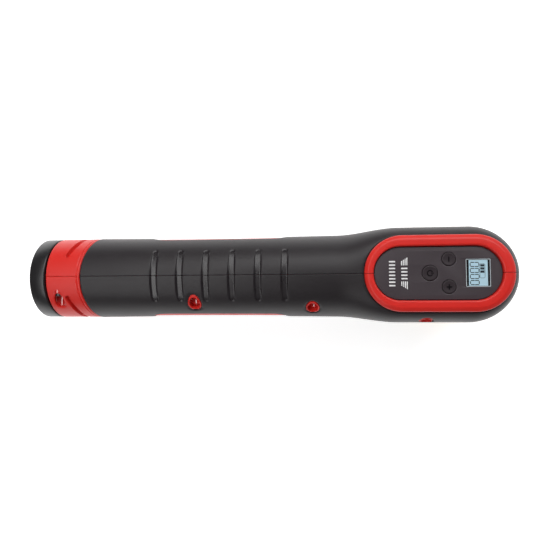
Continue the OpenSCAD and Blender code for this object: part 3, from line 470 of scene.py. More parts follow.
def material(name, colour, rough, metal=0.0, grain=0.0, grain_scale=900.0, mottle=0.06,
             mottle_scale=60.0, coat=0.0, transmission=0.0, sheen=0.0, emission=0.0,
             rough_swing=0.06, specular=0.5):
    """A plastic, metal or glass whose colour, roughness and surface all vary a little."""
    m = bpy.data.materials.new(name)
    m.use_nodes = True
    tree = m.node_tree
    shader = tree.nodes["Principled BSDF"]
    shader.inputs["Metallic"].default_value = metal
    shader.inputs["Specular IOR Level"].default_value = specular
    shader.inputs["Coat Weight"].default_value = coat
    shader.inputs["Coat Roughness"].default_value = 0.12
    shader.inputs["Transmission Weight"].default_value = transmission
    shader.inputs["Sheen Weight"].default_value = sheen
    if emission:
        shader.inputs["Emission Color"].default_value = (*colour, 1)
        shader.inputs["Emission Strength"].default_value = emission
    place = tree.nodes.new("ShaderNodeTexCoord")
    cloud = tree.nodes.new("ShaderNodeTexNoise")
    cloud.inputs["Scale"].default_value = mottle_scale
    cloud.inputs["Detail"].default_value = 5
    tree.links.new(place.outputs["Object"], cloud.inputs["Vector"])
    tint = tree.nodes.new("ShaderNodeMix")
    tint.data_type = "RGBA"
    tint.inputs["A"].default_value = (*[c * (1 - mottle) for c in colour], 1)
    tint.inputs["B"].default_value = (*[min(1, c * (1 + mottle)) for c in colour], 1)
    tree.links.new(cloud.outputs["Fac"], tint.inputs["Factor"])
    tree.links.new(tint.outputs["Result"], shader.inputs["Base Color"])
    swing = tree.nodes.new("ShaderNodeMapRange")
    swing.inputs["To Min"].default_value = max(0.02, rough - rough_swing)
    swing.inputs["To Max"].default_value = min(1, rough + rough_swing)
    tree.links.new(cloud.outputs["Fac"], swing.inputs["Value"])
    tree.links.new(swing.outputs["Result"], shader.inputs["Roughness"])
    if grain:
        fine = tree.nodes.new("ShaderNodeTexNoise")
        fine.inputs["Scale"].default_value = grain_scale
        fine.inputs["Detail"].default_value = 3
        tree.links.new(place.outputs["Object"], fine.inputs["Vector"])
        bump = tree.nodes.new("ShaderNodeBump")
        bump.inputs["Strength"].default_value = grain
        bump.inputs["Distance"].default_value = 0.0002
        tree.links.new(fine.outputs["Fac"], bump.inputs["Height"])
        tree.links.new(bump.outputs["Normal"], shader.inputs["Normal"])
    return m


RED = material("red_nylon", (0.67, 0.024, 0.018), 0.36, grain=0.16, mottle=0.04, specular=0.34)
# The shell's red nylon made darker and glossier for the screw cups; the darker colour is painted
# shade inside the bores.
RED_BORE_SHADED = material("red_bore_painted_shade", (0.56, 0.012, 0.010), 0.14, grain=0.03, mottle=0.04, specular=1.0,
                    coat=0.8)
BLACK_STEEL = material("black_steel", (0.09, 0.088, 0.09), 0.36, metal=1.0, grain=0.12,
                       grain_scale=1500)
RUBBER = material("soft_rubber", (0.0175, 0.0140, 0.0160), 0.42, grain=0.30, grain_scale=1600,
                  specular=0.36)
RUBBER_GLOSS = material("groove_rubber", (0.0150, 0.0120, 0.0140), 0.27, grain=0.06,
                        grain_scale=1600, specular=0.45)
PANEL_BLACK = material("panel_plastic", (0.053, 0.042, 0.048), 0.38, grain=0.12, grain_scale=1400,
                       specular=0.4)
BUTTON = material("button_plastic", (0.034, 0.026, 0.030), 0.34, grain=0.08, grain_scale=1400,
                  specular=0.3)
HARD_BLACK = material("black_nylon", (0.014, 0.013, 0.014), 0.32, grain=0.15, grain_scale=1100)
PRINT = material("white_print", (0.80, 0.80, 0.80), 0.45, grain=0.05)
GLASS = material("display_window", (0.95, 0.97, 0.98), 0.06, transmission=1.0, mottle=0.01,
                 rough_swing=0.01)
# A pale trim colour, shared with the LCD module, that paints the highlight on the display window's
# bevel.
LCD_FRAME_AND_HIGHLIGHT = material("display_frame_and_painted_highlight", (0.55, 0.62, 0.66), 0.4, grain=0.05)
LCD = material("display_glow", (0.36, 0.52, 0.60), 0.35, emission=0.22, mottle=0.03,
               mottle_scale=90)
LCD_INK = material("display_ink", (0.012, 0.020, 0.028), 0.4, grain=0.03)
DISPLAY_BLACK = material("display_mask", (0.012, 0.012, 0.014), 0.12, coat=0.4, grain=0.02)
MARK = material("button_mark", (0.006, 0.005, 0.006), 0.6, grain=0.05, specular=0.05)
ALLOY = material("cast_alloy", (0.36, 0.365, 0.375), 0.44, metal=1.0, grain=0.35, grain_scale=700)
STEEL = material("steel", (0.55, 0.55, 0.56), 0.28, metal=1.0, grain=0.12, grain_scale=1500)
GEAR = material("gear_steel", (0.42, 0.41, 0.40), 0.34, metal=1.0, grain=0.15, grain_scale=1300)
ZINC = material("zinc_plate", (0.60, 0.60, 0.58), 0.30, metal=1.0, grain=0.12, grain_scale=1500)
BRONZE = material("sintered_bronze", (0.50, 0.33, 0.16), 0.48, metal=1.0, grain=0.4,
                  grain_scale=2500)
COPPER = material("copper", (0.72, 0.30, 0.14), 0.30, metal=1.0, grain=0.3, grain_scale=1600)
LAMINATION = material("lamination", (0.32, 0.32, 0.34), 0.5, metal=1.0, grain=0.4,
                      grain_scale=2200)
FERRITE = material("ferrite", (0.06, 0.06, 0.065), 0.62, grain=0.3)
GRAPHITE = material("graphite", (0.045, 0.045, 0.048), 0.55, metal=0.3, grain=0.25)
BOARD = material("circuit_board", (0.012, 0.11, 0.045), 0.36, grain=0.12, coat=0.2)
SWITCH = material("switch_metal", (0.45, 0.45, 0.46), 0.35, metal=1.0, grain=0.1)
CABLE = material("flat_cable", (0.62, 0.58, 0.48), 0.42, grain=0.1)
WIRE_RED = material("wire_red", (0.45, 0.02, 0.015), 0.42, grain=0.1)
WIRE_BLACK = material("wire_black", (0.02, 0.02, 0.02), 0.42, grain=0.1)
CELL = material("cell_wrap", (0.03, 0.14, 0.30), 0.32, grain=0.06)
NICKEL = material("nickel_strip", (0.66, 0.64, 0.60), 0.26, metal=1.0, grain=0.12)
CONTACT = material("contact_metal", (0.72, 0.58, 0.30), 0.26, metal=1.0, grain=0.1)
FAN = material("fan_plastic", (0.62, 0.62, 0.58), 0.42, grain=0.12)
SEAL = material("seal_rubber", (0.018, 0.018, 0.019), 0.55, grain=0.2)
HOOK = material("hook_fabric", (0.05, 0.05, 0.055), 0.85, grain=1.0, grain_scale=2600)
FOAM = material("foam", (0.72, 0.42, 0.06), 0.88, grain=1.0, grain_scale=1500, mottle=0.16,
                mottle_scale=900)
LOOP = material("loop_cloth", (0.42, 0.42, 0.44), 0.9, grain=1.0, grain_scale=2200, mottle=0.2,
                mottle_scale=1200, sheen=0.2)

NODE_LOOKS = {
    "panel_plate": PANEL_BLACK, "lcd_window": GLASS, "lcd_module": LCD_FRAME_AND_HIGHLIGHT,
    "control_board": BOARD, "tact_switches": SWITCH, "panel_screws": ZINC, "display_ribbon": CABLE,
    "button_power": BUTTON, "button_minus": BUTTON, "button_plus": BUTTON,
    "shell_left": RED, "shell_right": RED, "grip_left": RUBBER, "grip_right": RUBBER,
    "housing_screws": BLACK_STEEL, "gearbox_housing": ALLOY, "gearbox_cover": ALLOY,
    "gearbox_screws": STEEL, "bevel_gear": GEAR, "pinion_gear": GEAR, "spindle": STEEL,
    "circlip": STEEL, "upper_bush": BRONZE, "bearing_outer_race": STEEL,
    "bearing_inner_race": STEEL, "bearing_balls": STEEL, "dust_seal": SEAL,
    "backing_plate": HARD_BLACK, "hook_disc": HOOK, "polishing_pad": FOAM,
    "motor_can": ZINC, "motor_front_bush": BRONZE, "motor_rear_bush": BRONZE,
    "motor_end_bell": HARD_BLACK, "motor_magnets": FERRITE, "motor_shaft": STEEL,
    "armature_core": LAMINATION, "armature_windings": COPPER, "commutator": COPPER,
    "motor_brushes": GRAPHITE, "cooling_fan": FAN, "motor_screws": STEEL,
    "driver_board": BOARD, "motor_leads": WIRE_RED, "battery_leads": WIRE_BLACK,
    "terminal_block": HARD_BLACK, "battery_case": HARD_BLACK, "battery_end_cap": HARD_BLACK,
    "battery_cells": CELL, "cell_straps": NICKEL, "battery_board": BOARD,
    "pack_terminals": CONTACT, "pack_screws": ZINC, "pack_springs": STEEL,
}
SOFT_EDGES = {"battery_end_cap": 0.45, "gearbox_cover": 0.4, "backing_plate": 0.5,
              "housing_screws": 0.12, "pack_screws": 0.12, "gearbox_screws": 0.12,
              "motor_can": 0.4, "battery_case": 0.3, "gearbox_housing": 0.4,
              "terminal_block": 0.3}


def soften(item, width, segments, angle):
    """Rounds the edges sharper than that angle, in degrees."""
    bevel = item.modifiers.new("edge", "BEVEL")
    bevel.width = width * MM
    bevel.segments = segments
    bevel.limit_method = "ANGLE"
    bevel.angle_limit = math.radians(angle)


def dress_frame():
    """Gives every CAD node its material, and some of them small edge radii."""
    for name, item in NODES.items():
        item.data.materials.clear()
        item.data.materials.append(NODE_LOOKS[name])
        if name in SOFT_EDGES:
            weld = item.modifiers.new("weld", "WELD")
            weld.merge_threshold = 0.01 * MM
            soften(item, SOFT_EDGES[name], 3, 35)


# ---- the soft grip ---------------------------------------------------------------------------

def groove_stations():
    """Finer stations across each finger groove."""
    out, reach = [], 3.0
    for k in range(GROOVES):
        x = GROOVE_FIRST + k * GROOVE_PITCH
        out += [(x - reach, 0.33), (x + reach, 1.5)]
    return out


def angles_for(bands, step):
    """Angles from the top seam to the bottom one, closer together inside the bands, in degrees."""
    marks = [(0.0, 0.22), (0.9, 0.6), (2.4, step)]
    for a0, a1, fine in bands:
        marks += [(a0, fine), (a1, step)]
    marks += [(177.6, 0.6), (179.1, 0.22), (180.0, 1)]
    return np.radians(spread(*marks))


def make_grip(side):
    """The soft overmould on one half, with its finger grooves."""
    right = side == "right"

    def cut(u, a):
        p = surface(u, a)
        d = np.minimum(rim_edge(p) - (RIM_RO + GRIP_GAP), inlay_edge(p))
        d = np.minimum(d, gearbox_edge(p) - GEARBOX_GRIP_GAP)
        d = np.minimum(d, (u - ring_front(a)) * 0.95)
        return np.minimum(d, screw_edge(p, CUP_R + GRIP_GAP)) if right else d

    def outer(u, a):
        p = surface(u, a)
        seam = np.abs(p[..., 1])
        edge = cut(u, a)
        turn = np.minimum(np.abs(a), np.abs(math.pi - a)) / GROOVE_HALF
        loss, fade_from, fade_over = GROOVE_FADE
        fade = 1 - loss * smooth((turn - fade_from) / fade_over)
        lead, ramp = GROOVE_RAMP
        grooves = smooth((groove_inside(u, a) + lead) / ramp) * GROOVE_DEPTH * fade
        return dip(edge, *GRIP_EDGE) + dip(seam, *GRIP_SEAM) + grooves

    def inner(u, _):
        return np.full(u.shape, SOFT_T - 0.05)

    bands = [(31.0, 52.0, 0.9), (64.0, 74.0, 0.9), (106.0, 116.0, 0.9), (128.0, 149.0, 0.9)]
    us = spread((GRIP_X, 0.3), (GRIP_X + GRIP_BOW + 0.9, 1.2), *groove_stations(), (-99.0, 0.8),
                (-60.0, 0.6), (NOSE_X, 0.6), (NOSE_END - 0.6, 0.15), (NOSE_END, 1))
    points, faces = layered_skin(us, angles_for(bands, 2.0), cut, outer, inner)
    item = piece("grip_skin_" + side, points, faces, "housing", [RUBBER, RUBBER_GLOSS],
                 "soft_grip", flip=right, sharp=50)
    centres = np.array([tuple(f.center) for f in item.data.polygons])
    x, y, z = centres[:, 0] / MM, np.abs(centres[:, 1]) / MM, (centres[:, 2] - AXIS_Z) / MM
    deep = groove_inside(x, np.arctan2(y, z))
    shine = (deep > SHINE_DEPTH) & (np.hypot(y, z) > SHINE_R)
    item.data.polygons.foreach_set("material_index", shine.astype(np.int32))
    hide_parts("grip_" + side)


# ---- the red shell ---------------------------------------------------------------------------

def slot_inside(u, a):
    """How deep a point is inside the slanting slot through the tail ring, in mm."""
    first = SLOT_START + SLOT_ROUND
    start = RING_R * math.sin(first)
    out = RING_R * np.sin(a)
    end = np.maximum(np.abs(a - math.pi / 2) - (math.pi / 2 - first), 0) * RING_R
    x = SLOT_X + math.tan(SLOT_TILT) * (np.maximum(out, start) - SLOT_Y)
    return SLOT_W / 2 - np.hypot((u - x) * math.cos(SLOT_TILT), end)


def make_shell(side):
    """The red half: the bare tail ring and land, and the wall under the soft grip."""
    right = side == "right"
    grip_side = SOFT_T + 0.05

    def cut(u, a):
        p = surface(u, a)
        d = np.minimum(rim_edge(p) - (RIM_RI + 1.5), gearbox_edge(p) - GEARBOX_SHELL_GAP)
        return np.minimum(d, screw_edge(p, CUP_BORE_R)) if right else d

    def outer(u, a):
        p = surface(u, a)
        land = smooth((-0.1 - inlay_edge(p)) / 0.45)
        under = grip_side - (grip_side - INLAY_SINK) * land
        front = ring_front(a) - BAND_GAP - u
        band = np.maximum(1 - np.abs(front - BAND_W) / BAND_HALF, 0) * BAND_DEPTH
        bare = dip(u - TAIL_X, *TAIL_EDGE) + dip(front, *FRONT_EDGE) + band
        bare = bare + barrel_radius(u) - RING_R
        bare = bare + smooth((slot_inside(u, a) + 0.12) / 0.3) * (SLOT_DEPTH + 0.3)
        inset = np.where(front > 0, np.minimum(bare, SLOT_DEPTH + 0.6), under)
        if right:
            lip = screw_edge(p, CUP_R)
            inset = np.where((lip < 0) & (front < 0), GRIP_GAP + dip(0.1 - lip, *CUP_LIP), inset)
            bore = dip(screw_edge(p, CUP_BORE_R), *BORE_EDGE)
            inset = inset + np.where(front > 0, bore, 0)
        return inset + dip(np.abs(p[..., 1]), *SHELL_SEAM)

    def inner(u, _):
        return np.full(u.shape, SOFT_T + SHELL_T)

    bands = [(30.0, 52.0, 1.1), (66.0, 72.0, 0.8), (108.0, 114.0, 0.8), (128.0, 150.0, 1.1)]
    us = spread((TAIL_X, 0.15), (TAIL_X + 0.75, 0.5), (-244.0, 0.3), (GRIP_X + GRIP_BOW, 0.9),
                (-198.0, 0.45), (-186.0, 0.9), (-170.0, 0.5), (-156.0, 0.9), (-118.0, 0.45),
                (-84.0, 1.2), (-60.0, 1.0), (NOSE_X, 1.2), (NOSE_END, 1))
    points, faces = layered_skin(us, angles_for(bands, 2.4), cut, outer, inner)
    item = piece("shell_skin_" + side, points, faces, "housing", RED, "red_shell", flip=right,
                 sharp=42)
    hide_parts("shell_" + side)


def make_rim(side):
    """Half of the raised red rim: a rounded section swept along half of the panel's outline."""
    half = PANEL_RUN / 2
    foot = RIM_FOOT - 1.5
    section = fillet([(RIM_RI, foot), (RIM_RI, RIM_TOP), (RIM_RO - 2.4, RIM_TOP - 0.12),
                      (RIM_RO, RIM_TOP - 1.6), (RIM_RO, foot)],
                     [0, 1.15, 2.6, 1.5, 0], 7)
    nose = FACE_X + FACE_RUN / 2 - PANEL_X - half
    tail = PANEL_X - half - FACE_X + FACE_RUN / 2
    path = [(PANEL_X + half, t, nose) for t in np.linspace(0, 90, 31)]
    path += [(x, 90, 0) for x in np.linspace(PANEL_X + half, PANEL_X - half, 14)[1:-1]]
    path += [(PANEL_X - half, t, tail) for t in np.linspace(90, 180, 31)]
    points, faces = [], []
    count = len(section)
    for cx, t, reach in path:
        c, s = math.cos(math.radians(t)), math.sin(math.radians(t))
        inner = reach * abs(c) + math.sqrt(RIM_RI ** 2 - (reach * s) ** 2)
        narrow = (RIM_RO - inner) / (RIM_RO - RIM_RI)
        points += [(cx + (RIM_RO - (RIM_RO - r) * narrow) * c,
                    (RIM_RO - (RIM_RO - r) * narrow) * s + SEAM + 0.06, z) for r, z in section]
    for j in range(len(path) - 1):
        for i in range(count):
            m = (i + 1) % count
            a, b = j * count, (j + 1) * count
            faces.append((a + i, b + i, b + m, a + m))
    faces.append(tuple(range(count)))
    faces.append(tuple(reversed(range((len(path) - 1) * count, len(path) * count))))
    item = piece("panel_rim_" + side, points, faces, "housing", RED, "red_shell",
                 flip=side == "right", sharp=50)
    soften(item, 0.18, 2, 60)
    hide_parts("shell_" + side)


# ---- the panel ---------------------------------------------------------------------------------

def make_panel():
    """The panel: its face with the keys' and window's holes, its skirt and its flange."""
    def wide(loop, factor):
        return lambda inset: loop(inset * factor)

    key_gap = 0.15
    holes = [wide(ring_of(POWER_R + key_gap, POWER_X, 0, hole=True), 1.5),
             wide(ring_of(STEP_R + key_gap, STEP_X, STEP_Y, hole=True), 1.5),
             wide(ring_of(STEP_R + key_gap, STEP_X, -STEP_Y, hole=True), 1.5),
             wide(bar_of(*WINDOW_X, -WINDOW_Y, WINDOW_Y, 0.5, hole=True), 0.3)]
    levels = rounded_levels(PLATE_UNDER, FACE_H, 0.35, steps=5)
    face = plate([stadium_of(FACE_R, steps=64)] + holes, levels)
    skirt = plate([stadium_of(FACE_R), stadium_of(FACE_R - 1.2, hole=True)],
                  [(TRAY_BOTTOM, 0.0), (PLATE_UNDER + 0.4, 0.0)])
    flange = plate([stadium_of(FACE_R + 1.1, run=PANEL_RUN), stadium_of(FACE_R - 1.0, hole=True)],
                   rounded_levels(TRAY_BOTTOM, TRAY_BOTTOM + 1.2, 0.2))
    item = piece("panel_face", *merge(face, skirt, flange), "housing", PANEL_BLACK, "panel_black")
    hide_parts("panel_plate")


def cap_button(name, x, y, r, node, body):
    """A button whose top is slightly dished, on the flange that keeps it in the plate."""
    edge, dish, wide = 0.5, 0.25, r + BUTTON_FLANGE_R
    profile = [(0, BUTTON_FLANGE_Z), (wide, BUTTON_FLANGE_Z), (wide, BUTTON_FLANGE_TOP),
               (r, BUTTON_FLANGE_TOP), (r, BUTTON_TOP - edge)]
    profile += [(r - edge + edge * math.cos(t), BUTTON_TOP - edge + edge * math.sin(t))
                for t in np.linspace(0.3, math.pi / 2, 6)]
    profile += [((r - edge) * k, BUTTON_TOP - dish * (1 - k ** 2))
                for k in (0.85, 0.7, 0.5, 0.25, 0)]
    item = piece(name, *lathe(profile, 64, at=(x, y, 0)), body, BUTTON, "button_black", sharp=60)
    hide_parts(node)


def printed(name, outlines, z, body, look, slot, thick):
    """Thin raised print: flat shapes that stand a little proud of the level z."""
    levels = rounded_levels(z - 0.05, z + thick, 0.03, steps=2, bottom=False)
    piece(name, *merge(*[plate(loops, levels) for loops in outlines]), body, look, slot)


def stripe(x, y0, y1, slant):
    """A thin stripe along Y with one slanted end, as a function of its inset."""
    def loop(inset):
        w = STRIPE_W / 2 - inset
        near, far = y0 + inset, y1 - inset
        return np.array([(x - w, near), (x + w, near), (x + w, far), (x - w, far - slant)])
    return loop


def mirrored(loop):
    """The same outline on the other side of the seam."""
    def other(inset):
        return (loop(inset) * [1, -1])[::-1]
    return other


def make_prints():
    """White marks on the panel: a wing of stripes each side of a row of blocks, and a long row."""
    shapes = []
    for k in range(4):
        x = PRINT_X + (1.5 - k) * WING_PITCH
        wing = stripe(x, WING_Y0, WING_Y1 - WING_TAPER * k, WING_SLANT)
        shapes += [[wing], [mirrored(wing)]]
    for x, count in ((PRINT_X, 4), (PRINT_X2, 8)):
        for k in range(count):
            y = (k - (count - 1) / 2) * PRINT_PITCH + PRINT_SHIFT
            shapes.append([bar_of(x - PRINT_H / 2, x + PRINT_H / 2, y - PRINT_HALF, y + PRINT_HALF,
                                  0.25)])
    printed("panel_print", shapes, FACE_H, "housing", PRINT, "panel_black", 0.05)


def make_symbols():
    """The marks on the keys: an open ring with a stem, a minus and a plus."""
    top = BUTTON_TOP - 0.2
    turn = np.radians(np.linspace(30, 330, 25))
    arc = np.stack([np.cos(turn), np.sin(turn)], 1)
    half, arm, corner = 0.3, 1.5, 0.05

    def power_arc(inset):
        outer, inner = arc * (1.75 - inset), arc[::-1] * (1.25 + inset)
        return np.concatenate([outer, inner]) + np.array([POWER_X, 0])

    stem = bar_of(POWER_X + 0.5, POWER_X + 2.1, -0.25, 0.25, 0.2)
    printed("power_symbol", [[power_arc], [stem]], top, "power_key", MARK, "button_black", 0.2)
    bar = bar_of(STEP_X - half, STEP_X + half, STEP_Y - arm, STEP_Y + arm, 0.2)
    printed("minus_symbol", [[bar]], top, "minus_key", MARK, "button_black", 0.2)

    def cross(inset):
        w, e = half - inset, arm - inset
        f = w + corner
        pts = [(f, f), (w, e), (-w, e), (-f, f), (-e, w), (-e, -w), (-f, -f), (-w, -e), (w, -e),
               (f, -f), (e, -w), (e, w)]
        return np.array(pts) + np.array([STEP_X, -STEP_Y])

    printed("plus_symbol", [[cross]], top, "plus_key", MARK, "button_black", 0.2)


def make_buttons():
    """The three keys' caps, with their marks."""
    cap_button("power_cap", POWER_X, 0, POWER_R, "button_power", "power_key")
    cap_button("minus_cap", STEP_X, STEP_Y, STEP_R, "button_minus", "minus_key")
    cap_button("plus_cap", STEP_X, -STEP_Y, STEP_R, "button_plus", "plus_key")
    make_symbols()


def digit_zero(x, y, height, width, thick):
    """The six lit bars of a seven-bar zero whose top points towards the nose."""
    gap = 0.12
    out = []
    for end in (-1, 1):
        out.append([bar_of(x + end * height / 2 - thick / 2, x + end * height / 2 + thick / 2,
                           y - width / 2 + thick / 2 + gap, y + width / 2 - thick / 2 - gap, 0.1)])
        for side in (-1, 1):
            lo, hi = sorted((x + end * gap, x + end * (height / 2 - gap)))
            out.append([bar_of(lo, hi, y + side * width / 2 - thick / 2,
                               y + side * width / 2 + thick / 2, 0.1)])
    return out


def framed(xs, ys, inset, corner, hole=False):
    """A rounded rectangle between xs and ys, drawn in by inset."""
    return bar_of(xs[0] + inset, xs[1] - inset, ys[0] + inset, ys[1] - inset, corner, hole=hole)


def make_display():
    """The display: its pale edge, a painted highlight on the window's bevel, black mask, lit field,
    four zeros and a battery mark.
    """
    face = FACE_H - 0.15
    window, light = (WINDOW_X, (-WINDOW_Y, WINDOW_Y)), (LIGHT_X, (-LIGHT_Y, LIGHT_Y))
    # The pale edge's colour paints the light caught on the window's bevel.
    edge = [framed(*window, 0.08, 0.5), framed(*window, 0.4, 0.4, hole=True)]
    item = piece("display_edge_painted_highlight", *plate(edge, rounded_levels(MASK_Z, face, 0.1)), "housing",
                 LCD_FRAME_AND_HIGHLIGHT, "lcd_clear")
    mask = [framed(*window, 0.42, 0.4), framed(*light, 0, 0.3, hole=True)]
    piece("display_mask", *plate(mask, rounded_levels(MASK_Z, face - MASK_DROP, 0.12)), "housing",
          DISPLAY_BLACK, "panel_black")
    level = face - GLOW_DROP
    glow = plate([framed(*light, -0.3, 0.3)], rounded_levels(MASK_Z, level, 0.1))
    piece("display_glow", *glow, "housing", LCD, "lcd")
    shapes = []
    for k in range(ZEROS):
        shapes += digit_zero(ZERO_X, ZERO_Y - ZERO_PITCH * k, *ZERO_SIZE)
    mark = ((BATTERY_X - BATTERY_HALF, BATTERY_X + BATTERY_HALF), BATTERY_Y)
    shapes.append([framed(*mark, 0, 0.9), framed(*mark, BATTERY_LINE, 0.7, hole=True)])
    for k in range(3):
        y = CHARGE_Y - CHARGE_PITCH * k
        shapes.append([bar_of(BATTERY_X - CHARGE_HALF, BATTERY_X + CHARGE_HALF, y, y + CHARGE_LEN,
                              0.15)])
    printed("display_segments", shapes, level, "housing", LCD_INK, "lcd", 0.04)
    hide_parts("lcd_window")


def skin_y(x, z, inset):
    """How far the skin lies from the seam at each (x, z), less an inset, on a straight stretch."""
    s = float(smooth((x - NECK_X) / (HEAD_X - NECK_X)))
    r0 = float(barrel_radius(np.array(x)))
    w, n = r0 + (HEAD_W - r0) * s - inset, 2 + (HEAD_POW - 2) * s
    h = r0 + (np.where(z > 0, DECK_H, BELLY_H) - r0) * s - inset
    return w * np.maximum(1 - np.abs(z / h) ** n, 0) ** (1 / n)


def screw_cup(x, z, seat, back, boss_r=BOSS_R):
    """The red cup and boss that a housing screw sits in, its rim following the shell's wall."""
    steps, shoulder = 40, 1.6
    wall = SOFT_T + 1.2 if x > RING_X else 1.2

    def ring(r, depth=None):
        t = np.arange(steps) * 2 * math.pi / steps
        px, pz = x + r * np.cos(t), z + r * np.sin(t)
        if depth is None:
            y = np.maximum(skin_y(x, pz, wall), seat + 0.05)
        else:
            y = np.full(steps, depth)
        return np.stack([px, y, pz], 1)

    rings = [ring(CUP_BORE_R), ring(CUP_BORE_R, seat), ring(SCREW_R, seat), ring(SCREW_R, back),
             ring(boss_r, back), ring(boss_r, seat - shoulder), ring(CUP_R, seat - shoulder),
             ring(CUP_R)]
    return tube(rings)


def make_cups():
    """The cups on the right-hand half: six across the barrel and one in the head."""
    head_back = 21.3
    cups = [screw_cup(x, z, SCREW_SEAT_Y, BOSS_GAP) for x, z in SCREWS[:-1]]
    cups.append(screw_cup(*SCREWS[-1], HEAD_SEAT_Y, head_back, CUP_R - 0.05))
    # The cups take the darker red, which paints the shade in the bores.
    item = piece("screw_cups", *merge(*cups), "housing", RED_BORE_SHADED, "red_shell", flip=True)
    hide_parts("shell_right")


# ---- what the open tail shows --------------------------------------------------------------------

def pack_opening(turn):
    """The distance from the axis to the pack's racetrack opening."""
    flat = PACK_R / np.maximum(np.abs(np.cos(turn)), 1e-6)
    round_end = CELL_Y * np.sin(turn) + np.sqrt(PACK_R ** 2 - (CELL_Y * np.cos(turn)) ** 2 + 1e-9)
    return np.where(flat * np.sin(turn) <= CELL_Y, flat, round_end)


def rib(x, opening, start):
    """A rib across one half of the shell, from its wall to the opening."""
    angles = np.linspace(start, math.pi - start, 49)
    u = np.full(angles.shape, x + RIB_T / 2)
    wall = surface(u, angles) - normals(u, angles) * (SOFT_T + SHELL_T - 1)
    turn = np.arctan2(wall[:, 1], wall[:, 2])
    r = opening(turn)
    edge = np.stack([r * np.sin(turn), r * np.cos(turn)], 1)
    points = []
    for w, e in zip(wall[:, 1:], edge):
        for px, (py, pz) in ((x, w), (x + RIB_T, w), (x + RIB_T, e), (x, e)):
            points.append((px, py + SEAM, pz))
    faces = [(3, 2, 1, 0)]
    for j in range(len(angles) - 1):
        for i in range(4):
            a, b, m = j * 4, j * 4 + 4, (i + 1) % 4
            faces.append((a + i, a + m, b + m, b + i))
    last = (len(angles) - 1) * 4
    faces.append((last, last + 1, last + 2, last + 3))
    return np.array(points), faces


def left_boss(x, z):
    """The boss that a housing screw bites into, from the seam to the left-hand wall."""
    steps, wall = 32, SOFT_T + SHELL_T - 0.4
    t = np.arange(steps) * 2 * math.pi / steps
    rings = []
    for r, to_wall in ((BOSS_BORE_R, True), (BOSS_BORE_R, False), (BOSS_R, False), (BOSS_R, True)):
        px, pz = x + r * np.cos(t), z + r * np.sin(t)
        y = np.maximum(skin_y(x, pz, wall), 2 * BOSS_GAP) if to_wall else np.full(steps, BOSS_GAP)
        rings.append(np.stack([px, y, pz], 1))
    return tube(rings)


def make_inside():
    """The ribs of both halves and the bosses of the left-hand one."""
    def motor_opening(turn):
        return np.full(turn.shape, MOTOR_R)

    for side in ("left", "right"):
        slabs = [rib(x, pack_opening, 0) for x in PACK_RIBS]
        slabs += [rib(x, motor_opening, RIBBON_TURN) for x in MOTOR_RIBS]
        item = piece("shell_ribs_" + side, *merge(*slabs), "housing", RED, "red_shell",
                     flip=side == "right")
        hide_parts("shell_" + side)
    bosses = [left_boss(x, z) for x, z in SCREWS[:-1]]
    item = piece("shell_bosses", *merge(*bosses), "housing", RED, "red_shell")
    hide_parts("shell_left")


# ---- the pad -----------------------------------------------------------------------------------

def make_pad():
    """The open-celled foam disc and the loop cloth on its back, which the plate's hooks hold."""
    low, high, cell = 3.2, PAD_T - LOOP_T, 0.07
    floor_z = -AXIS_Z / MM
    profile = [(0, 0.55), (3.4, 0.55), (4.0, 0.42), (4.6, 0.1), (5.2, 0)]
    profile += [(r, 0) for r in np.linspace(6, PAD_R - low - 0.4, 22)]
    profile += [(PAD_R - low - 0.4 + low * math.sin(t), low - low * math.cos(t))
                for t in np.linspace(0.12, math.pi / 2, 9)]
    profile += [(PAD_R - 0.4 + 0.35 * math.sin(math.pi * (z - low) / (high - low)) - 1.0
                 * ((z - low) / (high - low)) ** 3, z) for z in np.linspace(low + 0.7, high, 14)]
    profile += [(r, high) for r in (24, 18, 12, 6, 0)]
    points, faces = lathe(profile, steps=180)
    rough = np.random.default_rng(7)
    radius = np.hypot(points[:, 0], points[:, 1])
    shown = (points[:, 2] < high - 0.01) & (radius > 0.1)
    bumps = cell * (rough.random(len(points)) - 0.5)
    outward = np.where(points[:, 2] > 1.5, 1.0, 0.0)
    scale = 1 + np.where(shown, bumps * outward / np.maximum(radius, 1), 0)
    points[:, 0] *= scale
    points[:, 1] *= scale
    points[:, 2] += np.where(shown & (outward == 0) & (radius < PAD_R - 2), np.abs(bumps), 0)
    points[:, 2] += floor_z
    foam = piece("pad_foam", points, faces, "spindle_assembly", FOAM, "foam", sharp=60)
    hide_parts("polishing_pad")
    top = PAD_R - 1.5
    cloth = [(0, high + 0.02), (top - 0.25, high + 0.02), (top, high + 0.25),
             (top + 0.05, PAD_T - 0.5), (top - 0.3, PAD_T - 0.06), (top - 1, PAD_T), (0, PAD_T)]
    piece("pad_loop_cloth", *lathe(cloth, steps=120, at=(0, 0, floor_z)), "spindle_assembly", LOOP,
          "foam")


dress_frame()
make_pad()
make_inside()
for half_name in ("left", "right"):
    make_grip(half_name)
    make_shell(half_name)
    make_rim(half_name)
make_panel()
make_buttons()
make_display()
make_prints()
make_cups()


# ---- camera, light and floor -------------------------------------------------------------------

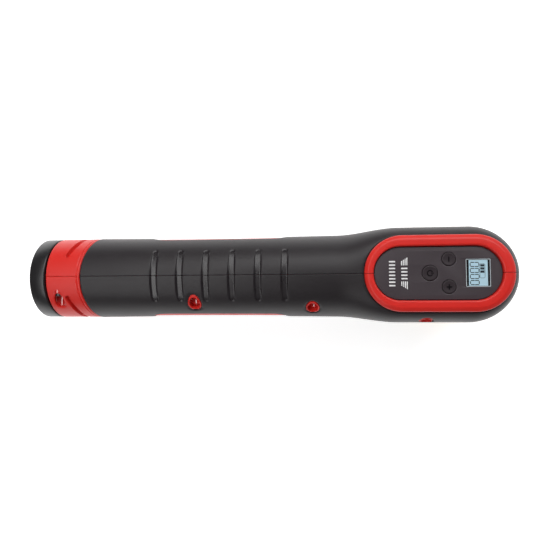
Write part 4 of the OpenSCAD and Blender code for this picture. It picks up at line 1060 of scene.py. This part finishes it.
def camera():
    """A camera over the grip, fitted to the photograph's view."""
    data = bpy.data.cameras.new("camera")
    data.lens = 31.98
    data.sensor_width = 36.0
    data.clip_start = 0.01
    item = bpy.data.objects.new("camera", data)
    item.location = (-0.084154, -0.014904, 0.308655 + AXIS_Z)
    turn = (Euler((0, math.radians(5.83), 0)).to_matrix()
            @ Euler((math.radians(2.94), 0, 0)).to_matrix()
            @ Euler((0, 0, math.radians(-0.19))).to_matrix())
    item.rotation_euler = turn.to_euler()
    bpy.context.collection.objects.link(item)
    bpy.context.scene.camera = item


def soft_light(name, place, target, size, power):
    """A rectangular light, in metres and watts."""
    data = bpy.data.lights.new(name, "AREA")
    data.shape = "RECTANGLE"
    data.size, data.size_y = size
    data.energy = power
    item = bpy.data.objects.new(name, data)
    item.location = place
    item.rotation_euler = (Vector(target) - Vector(place)).to_track_quat("-Z", "Y").to_euler()
    bpy.context.collection.objects.link(item)


def surroundings():
    """A world that is pale at the horizon, two soft lights, and the white floor."""
    scene = bpy.context.scene
    scene.view_settings.view_transform = "Standard"
    scene.view_settings.look = "None"
    world = bpy.data.worlds.new("world")
    world.use_nodes = True
    tree = world.node_tree
    back = tree.nodes["Background"]
    back.inputs["Strength"].default_value = 1.0
    place = tree.nodes.new("ShaderNodeTexCoord")
    split = tree.nodes.new("ShaderNodeSeparateXYZ")
    fade = tree.nodes.new("ShaderNodeValToRGB")
    tree.links.new(place.outputs["Generated"], split.inputs["Vector"])
    tree.links.new(split.outputs["Z"], fade.inputs["Fac"])
    tree.links.new(fade.outputs["Color"], back.inputs["Color"])
    low_stop, high_stop = fade.color_ramp.elements
    low_stop.position, low_stop.color = 0.08, (0.42, 0.43, 0.44, 1)
    high_stop.position, high_stop.color = 0.26, (0.05, 0.05, 0.05, 1)
    scene.world = world
    soft_light("key", (0.28, 0.64, 0.80), (0.0, 0, 0.05), (0.9, 0.6), 6.8)
    soft_light("top", (-0.52, 0.02, 1.0), (-0.38, 0, 0.05), (2.8, 0.30), 11.2)
    mesh = bpy.data.meshes.new("floor")
    half = 3
    mesh.from_pydata([(-half, -half, 0), (half, -half, 0), (half, half, 0), (-half, half, 0)], [],
                     [(0, 1, 2, 3)])
    floor = bpy.data.objects.new("floor", mesh)
    bpy.context.collection.objects.link(floor)
    mesh.materials.append(material("floor_white", (0.93, 0.93, 0.93), 0.9, mottle=0.005,
                                   mottle_scale=4, emission=0.70, specular=0))


camera()
surroundings()
